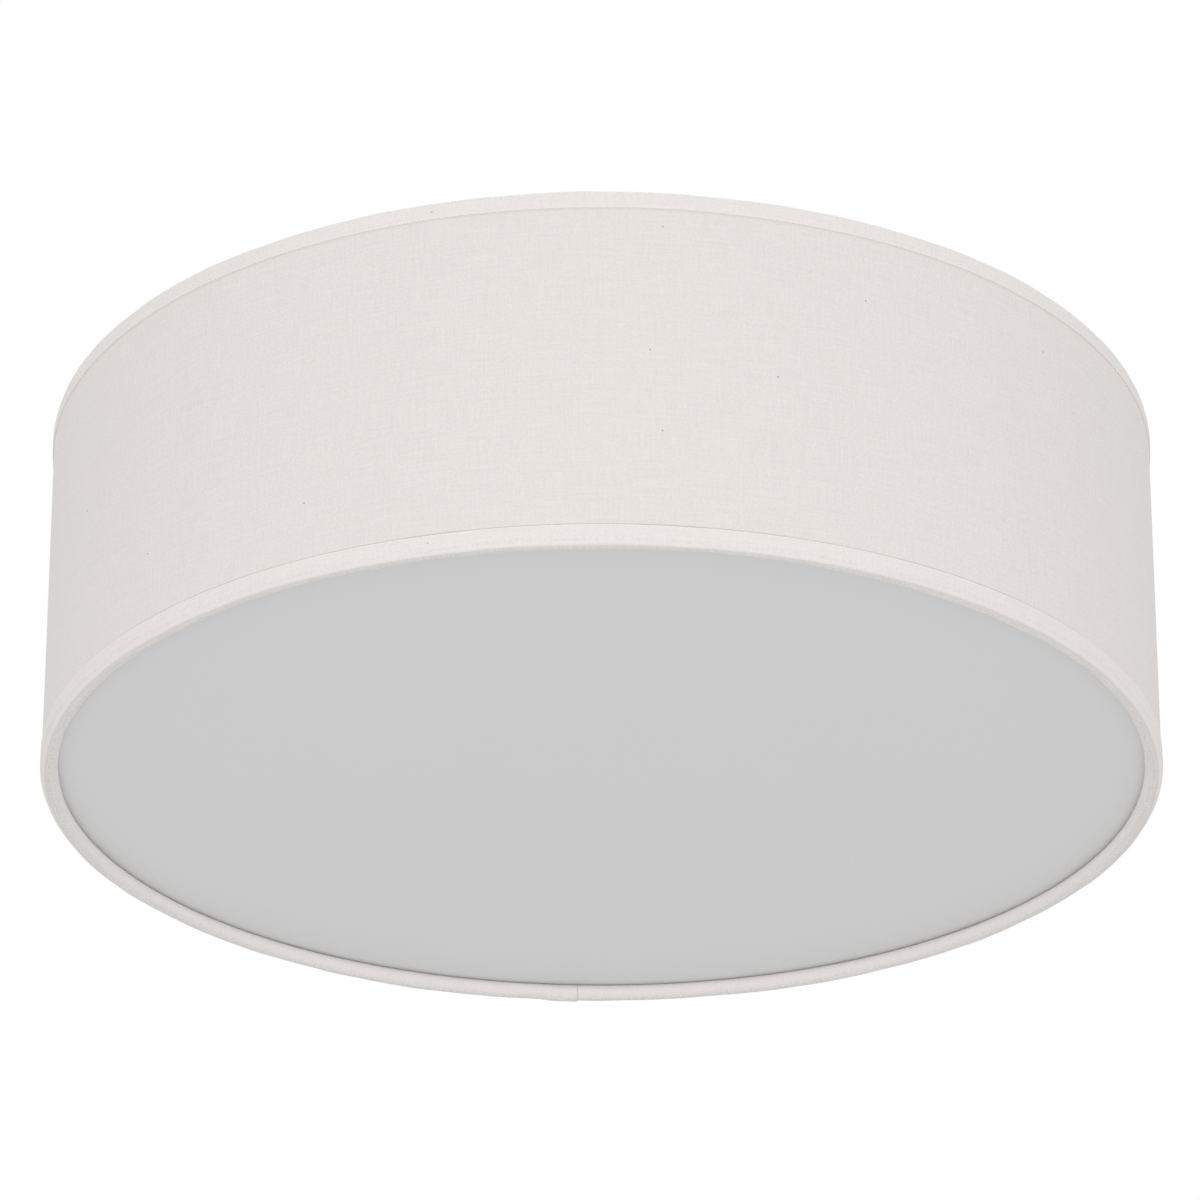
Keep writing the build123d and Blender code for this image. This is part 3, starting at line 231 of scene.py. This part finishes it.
def mottled(tree, shader, colour, spread, patch, grain_size, grain_height, rough):
    """Gives a hard finish soft patches of shade, a fine surface and uneven gloss.

    Patches and grain are in millimetres, spread is the patches' change of brightness and
    rough their lowest and highest roughness.
    """
    place = node(tree, "ShaderNodeTexCoord").outputs["Object"]
    patches = node(tree, "ShaderNodeTexNoise", {"Scale": per_metre(patch), "Detail": 3.0},
                   {"Vector": place}).outputs["Fac"]
    shade = ramp(tree, patches, [(0.3, toned(colour, 1 - spread)),
                                 (0.7, toned(colour, 1 + spread))])
    tree.links.new(shade, shader.inputs["Base Color"])
    grain = node(tree, "ShaderNodeTexNoise", {"Scale": per_metre(grain_size), "Detail": 2.0},
                 {"Vector": place}).outputs["Fac"]
    bump = node(tree, "ShaderNodeBump", {"Strength": 0.5, "Distance": grain_height / 1000},
                {"Height": grain})
    tree.links.new(bump.outputs["Normal"], shader.inputs["Normal"])
    tree.links.new(rescaled(tree, patches, (0.3, 0.7), rough), shader.inputs["Roughness"])


def on_threads(tree, flat, turn, along, across):
    """The flat cut, turned to the threads and measured in steps of these millimetres."""
    return node(tree, "ShaderNodeMapping", {
        "Rotation": (0, 0, math.radians(turn)),
        "Scale": (per_metre(along), per_metre(across), 1)}, {"Vector": flat}).outputs["Vector"]


def thread_height(tree, flat, pitch, turn):
    """How high a plain weave stands, lowest in the gaps between its threads.

    The threads stray a little, as in any cloth that is pulled tight by hand.
    """
    stray_every, stray = 18, 0.0012    # millimetres, and metres off straight
    level, rise = 0.5, 0.35            # a thread's height, and what it gains over another
    noise = node(tree, "ShaderNodeTexNoise", {
        "noise_dimensions": "2D", "Scale": per_metre(stray_every)}, {"Vector": flat})
    centred = node(tree, "ShaderNodeVectorMath", {"operation": "SUBTRACT", 1: (0.5, 0.5, 0.5)},
                   {0: noise.outputs["Color"]}).outputs["Vector"]
    drift = node(tree, "ShaderNodeVectorMath", {"operation": "SCALE", "Scale": stray},
                 {0: centred}).outputs["Vector"]
    eased = node(tree, "ShaderNodeVectorMath", {"operation": "ADD"},
                 {0: flat, 1: drift}).outputs["Vector"]
    split = node(tree, "ShaderNodeSeparateXYZ", {},
                 {"Vector": on_threads(tree, eased, turn, pitch, pitch)}).outputs
    warp, weft = (math_node(tree, "SINE", math_node(tree, "MULTIPLY", split[way], math.pi))
                  for way in ("X", "Y"))
    crossing = math_node(tree, "MULTIPLY", warp, weft)
    heights = [math_node(tree, "MULTIPLY", math_node(tree, "ABSOLUTE", thread),
                         math_node(tree, "MULTIPLY_ADD", crossing, gain, level))
               for thread, gain in ((warp, rise), (weft, -rise))]
    return math_node(tree, "MAXIMUM", *heights)


def thread_tone(tree, flat, turn):
    """Uneven shade of the threads, around 0.5: slubs both ways, and fuzz."""
    slub_sizes = ((22.0, 0.9), (0.9, 16.0))    # millimetres along and across
    fuzz_size = 1.1
    slubs = [node(tree, "ShaderNodeTexNoise", {
        "noise_dimensions": "2D", "Scale": 1.0, "Detail": 3.0, "Roughness": 0.6},
        {"Vector": on_threads(tree, flat, turn, along, across)}).outputs["Fac"]
        for along, across in slub_sizes]
    slub = math_node(tree, "MULTIPLY", math_node(tree, "ADD", *slubs), 0.5)
    fuzz = node(tree, "ShaderNodeTexNoise", {
        "noise_dimensions": "2D", "Scale": per_metre(fuzz_size), "Detail": 2.0},
        {"Vector": flat}).outputs["Fac"]
    return math_node(tree, "ADD", math_node(tree, "MULTIPLY", slub, 0.6),
                     math_node(tree, "MULTIPLY", fuzz, 0.4))


def husk_specks(tree, flat):
    """1 on the few dark husk specks that stay in undyed cotton, and 0 beside them."""
    square, size, rareness = 45, 0.008, 0.72    # millimetres, and shares of a square and of 1
    cells = node(tree, "ShaderNodeTexVoronoi", {
        "voronoi_dimensions": "2D", "Scale": per_metre(square)}, {"Vector": flat}).outputs
    tiny = math_node(tree, "LESS_THAN", cells["Distance"], size)
    chance = node(tree, "ShaderNodeSeparateColor", {}, {"Color": cells["Color"]}).outputs[0]
    return math_node(tree, "MULTIPLY", tiny, math_node(tree, "GREATER_THAN", chance, rareness))


def woven_cloth(name, colour, pitch, turn, contrast, reach, gap_shade, lines, fold=None):
    """Plain-weave cotton on the strip's own UV map, which is in metres.

    pitch is the thread spacing in millimetres and turn the threads' angle to the strip.
    The threads' shade changes by contrast where their tone is reach away from its middle.
    gap_shade is how dark the painted shade in the gaps between threads is. lines are
    (X along or Y across the strip, place, width, brightness) of painted highlights and
    shade, such as a highlight on a fold or a cut edge. Past a fold, where the cloth is
    stretched open, its grain shows more.
    """
    material, tree, shader = finish(name, {
        "Roughness": 0.92, "IOR": 1.46, "Specular IOR Level": 0.3,
        "Sheen Weight": 0.12, "Sheen Roughness": 0.6})
    flat = node(tree, "ShaderNodeUVMap", {"uv_map": "cut"}).outputs["UV"]
    places = node(tree, "ShaderNodeSeparateXYZ", {}, {"Vector": flat}).outputs
    weave = thread_height(tree, flat, pitch, turn)
    tone = thread_tone(tree, flat, turn)
    if fold:
        gain = rescaled(tree, places["Y"], (fold - 0.002, fold + 0.003), (0.8, 3.0))
        tone = math_node(tree, "ADD", 0.5, math_node(
            tree, "MULTIPLY", gain, math_node(tree, "SUBTRACT", tone, 0.5)))
    shade = ramp(tree, tone, [(0.5 - reach, toned(colour, 1 - contrast)),
                              (0.5 + reach, toned(colour, 1 + contrast))])
    # Painted shade in the gaps between threads, darkest where the weave is lowest.
    gaps = math_node(tree, "MULTIPLY", math_node(tree, "SUBTRACT", 0.85, weave), gap_shade)
    shade = laid_over(tree, shade, gaps, toned(colour, 0.6))
    # Painted highlights and shade along the given lines.
    for way, place, width, brightness in lines:
        away = math_node(tree, "ABSOLUTE", math_node(tree, "SUBTRACT", places[way], place))
        near = rescaled(tree, away, (0.0, width), (1.0, 0.0), "SMOOTHSTEP")
        shade = laid_over(tree, shade, near, toned(colour, brightness))
    shade = laid_over(tree, shade, husk_specks(tree, flat), toned(colour, 0.55))
    tree.links.new(shade, shader.inputs["Base Color"])
    relief = math_node(tree, "ADD", math_node(tree, "MULTIPLY", weave, 0.55),
                       math_node(tree, "MULTIPLY", tone, 0.9))
    bump = node(tree, "ShaderNodeBump", {"Strength": 0.55, "Distance": 0.00022},
                {"Height": relief})
    tree.links.new(bump.outputs["Normal"], shader.inputs["Normal"])
    return material


def wear(material, *names):
    """Puts one finish on these nodes of the frame."""
    for name in names:
        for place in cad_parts[name].material_slots:
            place.material = material


def three(name):
    """The names of a piece that the lamp has three of."""
    return [f"{name}_{i}" for i in (1, 2, 3)]


def powder_coat(settings):
    # Powder coat on steel: satin, with the faint orange peel that baking leaves.
    material, tree, shader = finish("powder_coated_steel", {
        "Roughness": 0.42, "IOR": 1.5, "Coat Weight": 0.1, "Coat Roughness": 0.3})
    mottled(tree, shader, settings.enamel_colour, 0.012, 30, 1.6, 0.05, (0.38, 0.48))
    return material


def zinc_plate():
    # Bright zinc: a cool grey metal with cloudy passivation patches.
    material, tree, shader = finish("zinc_plated_steel", {"Metallic": 1.0})
    mottled(tree, shader, linear("#BFC3C6"), 0.07, 5, 0.6, 0.012, (0.24, 0.42))
    return material


def nickel_plate():
    # Nickel over turned brass: warm bright metal with fine tool marks.
    material, tree, shader = finish("nickel_plated_brass", {"Metallic": 1.0})
    mottled(tree, shader, linear("#CFCAC0"), 0.04, 3, 0.35, 0.01, (0.16, 0.3))
    return material


def rolled_nickel():
    # Thin rolled sheet, duller than turned metal and a little streaked.
    material, tree, shader = finish("rolled_nickel_sheet", {"Metallic": 1.0})
    mottled(tree, shader, linear("#C6C5C1"), 0.05, 4, 0.5, 0.012, (0.28, 0.42))
    return material


def bare_brass():
    # Unplated brass, slightly tarnished in patches.
    material, tree, shader = finish("bare_brass", {"Metallic": 1.0})
    mottled(tree, shader, linear("#C9A95A"), 0.1, 4, 0.4, 0.01, (0.25, 0.45))
    return material


# ---------------------------------------------------------------- cloth
def arc(middle, radius, start, turn):
    """Points (radius, height) along an arc in a section, with its angles in degrees."""
    angles = np.radians(np.linspace(start, start + turn, 2 + int(abs(turn) / ARC_STEP)))
    return np.stack([middle[0] + radius * np.cos(angles), middle[1] + radius * np.sin(angles)], 1)


def tape_section(settings, tape):
    """Dense points (radius, height) along the middle of a tape's section, and their run.

    The tape comes along the wall, turns in at the fold and goes round the hoop's wire.
    """
    half = settings.thickness / 2
    low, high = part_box("bottom_trim" if tape == "lower" else "top_trim")
    ring_low, ring_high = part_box(f"{tape}_ring")
    wire = (ring_high.x - (ring_high.z - ring_low.z) / 2, (ring_high.z + ring_low.z) / 2)
    edge, up, wrap = (low.z, 1, LOWER_WRAP) if tape == "lower" else (high.z, -1, UPPER_WRAP)
    deep = abs(wire[1] - edge)
    wall, bend = high.x - half, settings.fold
    points = np.concatenate([
        [(wall, high.z - low.z)], arc((high.x - bend, bend), bend - half, 0, -90),
        arc((wire[0], deep), deep - half, -90, -wrap)])
    points[:, 1] = edge + up * points[:, 1]
    steps = np.linalg.norm(np.diff(points, axis=0), axis=1)
    return points, np.concatenate([[0], np.cumsum(steps)])


def along_section(section, run, reach):
    """Radii and heights of the places this far along a section."""
    return np.stack([np.interp(reach, run, section[:, k]) for k in (0, 1)])


def flat_strip(name, length, width, columns, rows):
    """A flat strip of cloth, cut from a grid, with a UV map in metres along its cut."""
    bpy.ops.object.select_all(action="DESELECT")
    bpy.ops.mesh.primitive_grid_add(x_subdivisions=columns, y_subdivisions=rows, size=1,
                                    calc_uvs=True)
    strip = bpy.context.object
    strip.name = strip.data.name = name
    strip.scale = (length, width, 1)
    bpy.ops.object.transform_apply(location=False, rotation=False, scale=True)
    strip.data.uv_layers[0].name = "cut"
    uv = np.zeros(len(strip.data.loops) * 2)
    strip.data.uv_layers["cut"].data.foreach_get("uv", uv)
    uv = uv.reshape(-1, 2) * (length, width)
    strip.data.uv_layers["cut"].data.foreach_set("uv", uv.ravel())
    return strip


def cut_places(strip):
    """Each point's place along and across the flat cut, from its lower left corner."""
    points = np.zeros(len(strip.data.vertices) * 3)
    strip.data.vertices.foreach_get("co", points)
    points = points.reshape(-1, 3)
    return points[:, 0] - points[:, 0].min(), points[:, 1] - points[:, 1].min()


def wrap_round(strip, angle, radius, height):
    """Moves the strip's points to these angles, radii and heights round the drum."""
    points = np.stack([radius * np.cos(angle), radius * np.sin(angle), height], axis=1)
    strip.data.vertices.foreach_set("co", points.ravel())
    strip.data.update()


def lap_rise(along, settings):
    """How far the strip's start stands out over its own hidden end."""
    share = np.clip((along - settings.lap) / LAP_EASE, 0, 1)
    return settings.thickness * LAP_LIFT * (1 - share * share * (3 - 2 * share))


def thicken(strip, thickness):
    """Gives the cloth its thickness and soft cut edges, applied to the mesh."""
    solid = strip.modifiers.new("thickness", "SOLIDIFY")
    solid.thickness = thickness
    solid.offset = 0
    solid.use_even_offset = True
    bpy.ops.object.modifier_apply(modifier="thickness")
    bpy.ops.object.shade_smooth_by_angle(angle=math.radians(50))


def wobble(angle, *waves):
    """A smooth closed wobble round the drum, from (how often, share, start) waves."""
    return sum(share * np.sin(count * angle + start) for count, share, start in waves)


def uneven_rim(settings, angle, up):
    """How far the lumps and the crease of a hand-folded tape stand out of its section."""
    lumps = settings.waviness * (1 + wobble(
        angle, (7, 0.35, 0.3), (16, 0.3, 1.7), (37, 0.2, 5.0), (71, 0.12, 2.6)))
    nearby = np.exp(-((np.degrees(angle) % 360 - CREASE_ANGLE) / CREASE_SPREAD) ** 2)
    return lumps + CREASE_HEIGHT * nearby * np.exp(-((up - CREASE_PLACE) / CREASE_WIDTH) ** 2)


class CEILINGLIGHT_OT_cover(bpy.types.Operator):
    """Wraps the woven cover round the liner, lapped along one upright seam at the back"""
    bl_idname = "ceilinglight.cover"
    bl_label = "Woven cover"

    def execute(self, context):
        settings = context.scene.light_cloth
        # The cover's middle lies under the tape's thickness and half of its own.
        radius = DRUM_RADIUS - 1.5 * settings.thickness
        low, high = (corner.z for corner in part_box("shade_fabric"))
        around, tall = 2 * math.pi * radius + settings.lap, high - low
        cover = flat_strip("shade_cover", around, tall, 480, 30)
        along, up = cut_places(cover)
        angle = BACK_SEAM + along / radius
        bulge = 0.00006 * wobble(angle, (5, 1, 0.4), (9, 0.6, 2.0), (14, 0.4, 4.1))
        out = lap_rise(along, settings) + bulge * np.sin(math.pi * up / tall)
        wrap_round(cover, angle, radius + out, low + up)
        thicken(cover, settings.thickness)
        # Fine plain weave. Its real threads lie 0.45 mm apart, which no pixel could
        # show, so they are drawn 0.9 mm apart. Painted shade lines run on the cover
        # beside the tapes' cut edges.
        # Painted shadow on the cover just above the lower tape's cut edge, and fainter painted
        # shade just under the upper tape's edge.
        below = ("Y", RIM_TOP - low + 0.0003, 0.0006, 0.72)
        above = ("Y", COLLAR_LOW.z - low - 0.0004, 0.0009, 0.94)
        cloth = woven_cloth("plain_weave_cotton", settings.cover_colour, pitch=0.9, turn=0,
                            contrast=0.03, reach=0.1, gap_shade=0.1, lines=[below, above])
        cover.data.materials.append(cloth)
        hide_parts("shade_fabric")
        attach(cover, "shade")
        return {"FINISHED"}


class CEILINGLIGHT_OT_tapes(bpy.types.Operator):
    """Folds a cloth tape over each rim, lapped where its two ends meet"""
    bl_idname = "ceilinglight.tapes"
    bl_label = "Rim tapes"

    def execute(self, context):
        settings = context.scene.light_cloth
        radius = DRUM_RADIUS - settings.thickness / 2
        around = 2 * math.pi * radius + settings.lap
        # The lower tape takes every painted line; the upper one only the painted highlights on its
        # cut edge and fold.
        for tape, outward, stands_for, lines in (
                ("lower", 1, "bottom_trim", TAPE_LINES),
                ("upper", -1, "top_trim", TAPE_LINES[:2])):
            section, run = tape_section(settings, tape)
            across = run[-1]
            strip = flat_strip(f"{tape}_rim_tape", around, across, 720, 44)
            along, up = cut_places(strip)
            angle = BACK_SEAM + along / radius
            # Hand folding lets the cut edge on the wall run up and down a little.
            edge = wobble(angle, (13, 0.5, 1.0), (31, 0.3, 2.2), (83, 0.2, 0.4))
            reach = np.clip(up + EDGE_STRAY * edge * (1 - up / across), 0, across)
            ahead, behind = (along_section(section, run, np.clip(reach + step, 0, across))
                             for step in (0.0002, -0.0002))
            slope = (ahead - behind) / np.linalg.norm(ahead - behind, axis=0)
            # The lap stands out on the wall and round the rim and fades towards the hidden
            # inner edge. Lumps and crease are only where the tape is folded.
            on_rim = (np.clip((up - UNEVEN_FROM) / UNEVEN_EASE, 0, 1)
                      * np.clip((UNEVEN_TO - up) / UNEVEN_EASE, 0, 1))
            lapped = np.where(up < FOLD, 1, on_rim) * lap_rise(along, settings)
            out = outward * (lapped + on_rim * uneven_rim(settings, angle, up))
            r, z = along_section(section, run, reach)
            wrap_round(strip, angle, r - slope[1] * out, z + slope[0] * out)
            thicken(strip, settings.thickness)
            # The same cloth cut on the bias and left unlaminated, so its threads show
            # coarser and run slantwise. They are drawn 1.1 mm apart.
            cloth = woven_cloth(f"bias_cut_cotton_{tape}", settings.tape_colour, pitch=1.1,
                                turn=45, contrast=0.07, reach=0.2, gap_shade=0.16, lines=lines,
                                fold=FOLD)
            strip.data.materials.append(cloth)
            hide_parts(stands_for)
            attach(strip, "shade")
        return {"FINISHED"}


# ---------------------------------------------------------------- hard pieces
class CEILINGLIGHT_OT_plate(bpy.types.Operator):
    """Finishes the opal plate"""
    bl_idname = "ceilinglight.plate"
    bl_label = "Opal plate"

    def execute(self, context):
        colour = context.scene.light_finish.opal_colour
        # Extruded opal acrylic, unlit: an even neutral grey-white with a satin face.
        material, tree, shader = finish("satin_opal_acrylic", {"IOR": 1.49, "Roughness": 0.45})
        mottled(tree, shader, colour, 0.008, 70, 2.5, 0.004, (0.4, 0.5))
        wear(material, "diffuser")
        return {"FINISHED"}


class CEILINGLIGHT_OT_drum_inside(bpy.types.Operator):
    """Finishes the drum's liner, hoops and hanging tabs, and the nuts and washers"""
    bl_idname = "ceilinglight.drum_inside"
    bl_label = "Drum inside"

    def execute(self, context):
        # Stiff shade film: white, smooth, a little glossy, with faint rolling marks.
        film, tree, shader = finish("white_shade_film", {"IOR": 1.52, "Roughness": 0.5})
        mottled(tree, shader, linear("#EFEDE8"), 0.01, 40, 3.0, 0.01, (0.42, 0.56))
        wear(film, "shade_liner")
        coat = powder_coat(context.scene.light_finish)
        wear(coat, "upper_ring", "lower_ring", "hanging_tabs", "base_pan",
             *three("support_arm"), *three("angle_bracket"))
        wear(nickel_plate(), "cap_nuts", *three("thumb_nut"))
        wear(zinc_plate(), "ceiling_bracket", "pan_studs", "cap_washers", "arm_rivets",
             "hanger_studs", "angle_rivets", "holder_nipples", "holder_locknuts",
             "terminal_screws", *three("hanger_washer"))
        return {"FINISHED"}


class CEILINGLIGHT_OT_wiring(bpy.types.Operator):
    """Finishes the wires, the terminal block, the earth point and the grommet"""
    bl_idname = "ceilinglight.wiring"
    bl_label = "Wiring"

    def execute(self, context):
        # Extruded insulation: smooth and slightly waxy, in the colours of mains wiring.
        for name, colour, wires in (("brown_insulation", "#5A3A26", "live_wires"),
                                    ("blue_insulation", "#2E6DA8", "neutral_wires")):
            material, tree, shader = finish(name, {"IOR": 1.53})
            mottled(tree, shader, linear(colour), 0.06, 6, 0.8, 0.01, (0.34, 0.46))
            wear(material, wires)
        # The same insulation in slanting green and yellow stripes.
        striped, tree, shader = finish("striped_insulation", {"IOR": 1.53, "Roughness": 0.4})
        place = node(tree, "ShaderNodeTexCoord").outputs["Object"]
        way = node(tree, "ShaderNodeTexWave", {"wave_type": "BANDS", "bands_direction": "DIAGONAL",
                   "Scale": per_metre(60), "Distortion": 0.5}, {"Vector": place})
        stripes = ramp(tree, way.outputs["Fac"], [
            (0.44, linear("#4E8A2C")), (0.5, linear("#E0C93A"))])
        tree.links.new(stripes, shader.inputs["Base Color"])
        wear(striped, "earth_wire")
        # Moulded polyamide: milky and slightly glossy.
        block, tree, shader = finish("moulded_polyamide", {"IOR": 1.53, "Subsurface Weight": 0.1,
                                     "Subsurface Scale": 0.002})
        mottled(tree, shader, linear("#EAE9E3"), 0.015, 6, 0.5, 0.01, (0.28, 0.38))
        wear(block, "terminal_block")
        wear(bare_brass(), "terminal_clamps", "earth_screw", "screw_sleeves", "centre_tongues")
        # Moulded rubber: nearly black, dull, faintly dusty.
        rubber, tree, shader = finish("moulded_rubber", {"IOR": 1.52})
        mottled(tree, shader, linear("#262626"), 0.15, 4, 0.4, 0.02, (0.65, 0.8))
        wear(rubber, "wire_grommet")
        return {"FINISHED"}


class CEILINGLIGHT_OT_lampholders(bpy.types.Operator):
    """Finishes the lampholders' casings and cores"""
    bl_idname = "ceilinglight.lampholders"
    bl_label = "Lampholders"

    def execute(self, context):
        # Heat-resistant thermoset: creamy white, satin, with the mould's fine spark texture.
        casing, tree, shader = finish("moulded_holder_resin", {"IOR": 1.55})
        mottled(tree, shader, context.scene.light_finish.holder_colour, 0.012, 12, 0.45, 0.03,
                (0.38, 0.5))
        wear(casing, *three("lampholder_cap"), *three("lampholder_skirt"))
        # Pressed steatite: unglazed ceramic, dull and slightly speckled.
        core, tree, shader = finish("pressed_steatite", {"IOR": 1.57})
        mottled(tree, shader, linear("#E2DACB"), 0.04, 1.5, 0.4, 0.03, (0.6, 0.75))
        wear(core, "lampholder_inserts")
        return {"FINISHED"}


class CEILINGLIGHT_OT_bulbs(bpy.types.Operator):
    """Finishes the three bulbs"""
    bl_idname = "ceilinglight.bulbs"
    bl_label = "Bulbs"

    def execute(self, context):
        # Frosted dome: opal plastic, soft and even, with a light satin gloss.
        dome, tree, shader = finish("frosted_dome", {"IOR": 1.58, "Subsurface Weight": 0.2,
                                    "Subsurface Scale": 0.004})
        mottled(tree, shader, linear("#F1F0EA"), 0.008, 15, 0.8, 0.006, (0.3, 0.38))
        wear(dome, *three("bulb_globe"))
        # Moulded polyester over the heat sink: brighter white and smoother than the holder.
        cone, tree, shader = finish("moulded_bulb_housing", {"IOR": 1.57})
        mottled(tree, shader, linear("#EDECE8"), 0.01, 12, 0.6, 0.02, (0.32, 0.42))
        wear(cone, *three("bulb_housing"))
        wear(rolled_nickel(), "crimp_ferrules", *three("bulb_screw_cap"))
        # Black glass insulator with a bright tin pip, which stands nearer the lamp's middle.
        contact, tree, shader = finish("black_glass_and_tin", {"Roughness": 0.25})
        split = node(tree, "ShaderNodeSeparateXYZ", {},
                     {"Vector": node(tree, "ShaderNodeTexCoord").outputs["Object"]})
        outward = math_node(tree, "SQRT", math_node(
            tree, "ADD", math_node(tree, "POWER", split.outputs["X"], 2.0),
            math_node(tree, "POWER", split.outputs["Y"], 2.0)))
        pip = math_node(tree, "LESS_THAN", outward, PIP_REACH)
        tree.links.new(pip, shader.inputs["Metallic"])
        tree.links.new(ramp(tree, pip, [(0.4, linear("#1C1A1E")), (0.6, linear("#C8C6BE"))]),
                       shader.inputs["Base Color"])
        wear(contact, *three("bulb_contact"))
        return {"FINISHED"}


# ---------------------------------------------------------------- studio
def seen_directly(tree):
    """1 for what the camera sees, straight, mirrored or through glass, and 0 for light."""
    path = node(tree, "ShaderNodeLightPath").outputs
    mirrored = math_node(tree, "MAXIMUM", path["Is Glossy Ray"], path["Is Transmission Ray"])
    return math_node(tree, "MAXIMUM", path["Is Camera Ray"], mirrored)


def turn_to(thing, aim):
    """Turns a lamp or camera to look at a point, upright."""
    thing.rotation_euler = (aim - thing.location).to_track_quat("-Z", "Y").to_euler()


class CEILINGLIGHT_OT_studio(bpy.types.Operator):
    """Sets up the white surround, the floor, the soft lights and the camera from below"""
    bl_idname = "ceilinglight.studio"
    bl_label = "Studio"

    def execute(self, context):
        settings = context.scene.light_studio
        scene = context.scene
        scene.view_settings.view_transform = "Standard"
        world = bpy.data.worlds.new("white_surround")
        scene.world = world
        world.use_nodes = True
        tree = world.node_tree
        tree.nodes.clear()
        white = node(tree, "ShaderNodeBackground", {"Color": (1, 1, 1, 1), "Strength": 1.0})
        even = node(tree, "ShaderNodeBackground", {"Color": (1, 1, 1, 1),
                    "Strength": settings.surround})
        mixed = node(tree, "ShaderNodeMixShader", {}, {
            0: seen_directly(tree), 1: even.outputs[0], 2: white.outputs[0]})
        node(tree, "ShaderNodeOutputWorld", {}, {"Surface": mixed.outputs[0]})

        bpy.ops.object.select_all(action="DESELECT")
        bpy.ops.mesh.primitive_plane_add(size=FLOOR_SIZE, location=(0, 0, -settings.floor_drop))
        bpy.ops.object.transform_apply(location=True, rotation=False, scale=False)
        floor = context.object
        floor.name = floor.data.name = "studio_floor"
        material = bpy.data.materials.new("pale_studio_floor")
        material.use_nodes = True
        tree = material.node_tree
        tree.nodes.clear()
        painted = node(tree, "ShaderNodeBsdfDiffuse", {"Color": linear("#DCDCDC")})
        bright = node(tree, "ShaderNodeEmission", {"Color": (1, 1, 1, 1), "Strength": 1.0})
        share = math_node(tree, "MULTIPLY", seen_directly(tree), FLOOR_GLOW)
        mixed = node(tree, "ShaderNodeMixShader", {}, {
            0: share, 1: painted.outputs[0], 2: bright.outputs[0]})
        node(tree, "ShaderNodeOutputMaterial", {}, {"Surface": mixed.outputs[0]})
        floor.data.materials.append(material)

        bpy.ops.object.light_add(type="AREA", location=SOFTBOX_PLACE)
        lamp = context.object
        lamp.name = "front_softbox"
        lamp.data.shape = "DISK"
        lamp.data.size = SOFTBOX_SIZE
        lamp.data.energy = settings.front_light
        turn_to(lamp, SOFTBOX_AIM)

        bpy.ops.object.camera_add(location=CAMERA_PLACE)
        camera = context.object
        camera.name = "view_from_below"
        camera.data.lens = settings.lens
        camera.data.sensor_width = SENSOR_WIDTH
        turn_to(camera, CAMERA_AIM)
        scene.camera = camera
        return {"FINISHED"}


class CEILINGLIGHT_PT_panel(bpy.types.Panel):
    """Lists the settings and the steps"""
    bl_idname = "CEILINGLIGHT_PT_panel"
    bl_label = "Ceiling light"
    bl_space_type = "VIEW_3D"
    bl_region_type = "UI"
    bl_category = "Ceiling light"

    def draw(self, context):
        for owner, group in ((context.scene.light_cloth, ClothSettings),
                             (context.scene.light_finish, FinishSettings),
                             (context.scene.light_studio, StudioSettings)):
            box = self.layout.box()
            for name in group.__annotations__:
                box.prop(owner, name)
        for step in STEPS:
            self.layout.operator(step.bl_idname)


STEPS = (CEILINGLIGHT_OT_studio, CEILINGLIGHT_OT_cover, CEILINGLIGHT_OT_tapes,
         CEILINGLIGHT_OT_plate, CEILINGLIGHT_OT_drum_inside, CEILINGLIGHT_OT_wiring,
         CEILINGLIGHT_OT_lampholders, CEILINGLIGHT_OT_bulbs)
CLASSES = (ClothSettings, FinishSettings, StudioSettings, *STEPS, CEILINGLIGHT_PT_panel)


def register():
    for made in CLASSES:
        bpy.utils.register_class(made)
    bpy.types.Scene.light_cloth = bpy.props.PointerProperty(type=ClothSettings)
    bpy.types.Scene.light_finish = bpy.props.PointerProperty(type=FinishSettings)
    bpy.types.Scene.light_studio = bpy.props.PointerProperty(type=StudioSettings)


def unregister():
    for name in ("light_cloth", "light_finish", "light_studio"):
        delattr(bpy.types.Scene, name)
    for made in reversed(CLASSES):
        bpy.utils.unregister_class(made)


def main():
    """Makes everything in order."""
    register()
    bpy.ops.ceilinglight.studio()
    bpy.ops.ceilinglight.cover()
    bpy.ops.ceilinglight.tapes()
    bpy.ops.ceilinglight.plate()
    bpy.ops.ceilinglight.drum_inside()
    bpy.ops.ceilinglight.wiring()
    bpy.ops.ceilinglight.lampholders()
    bpy.ops.ceilinglight.bulbs()


if __name__ == "__main__":
    main()
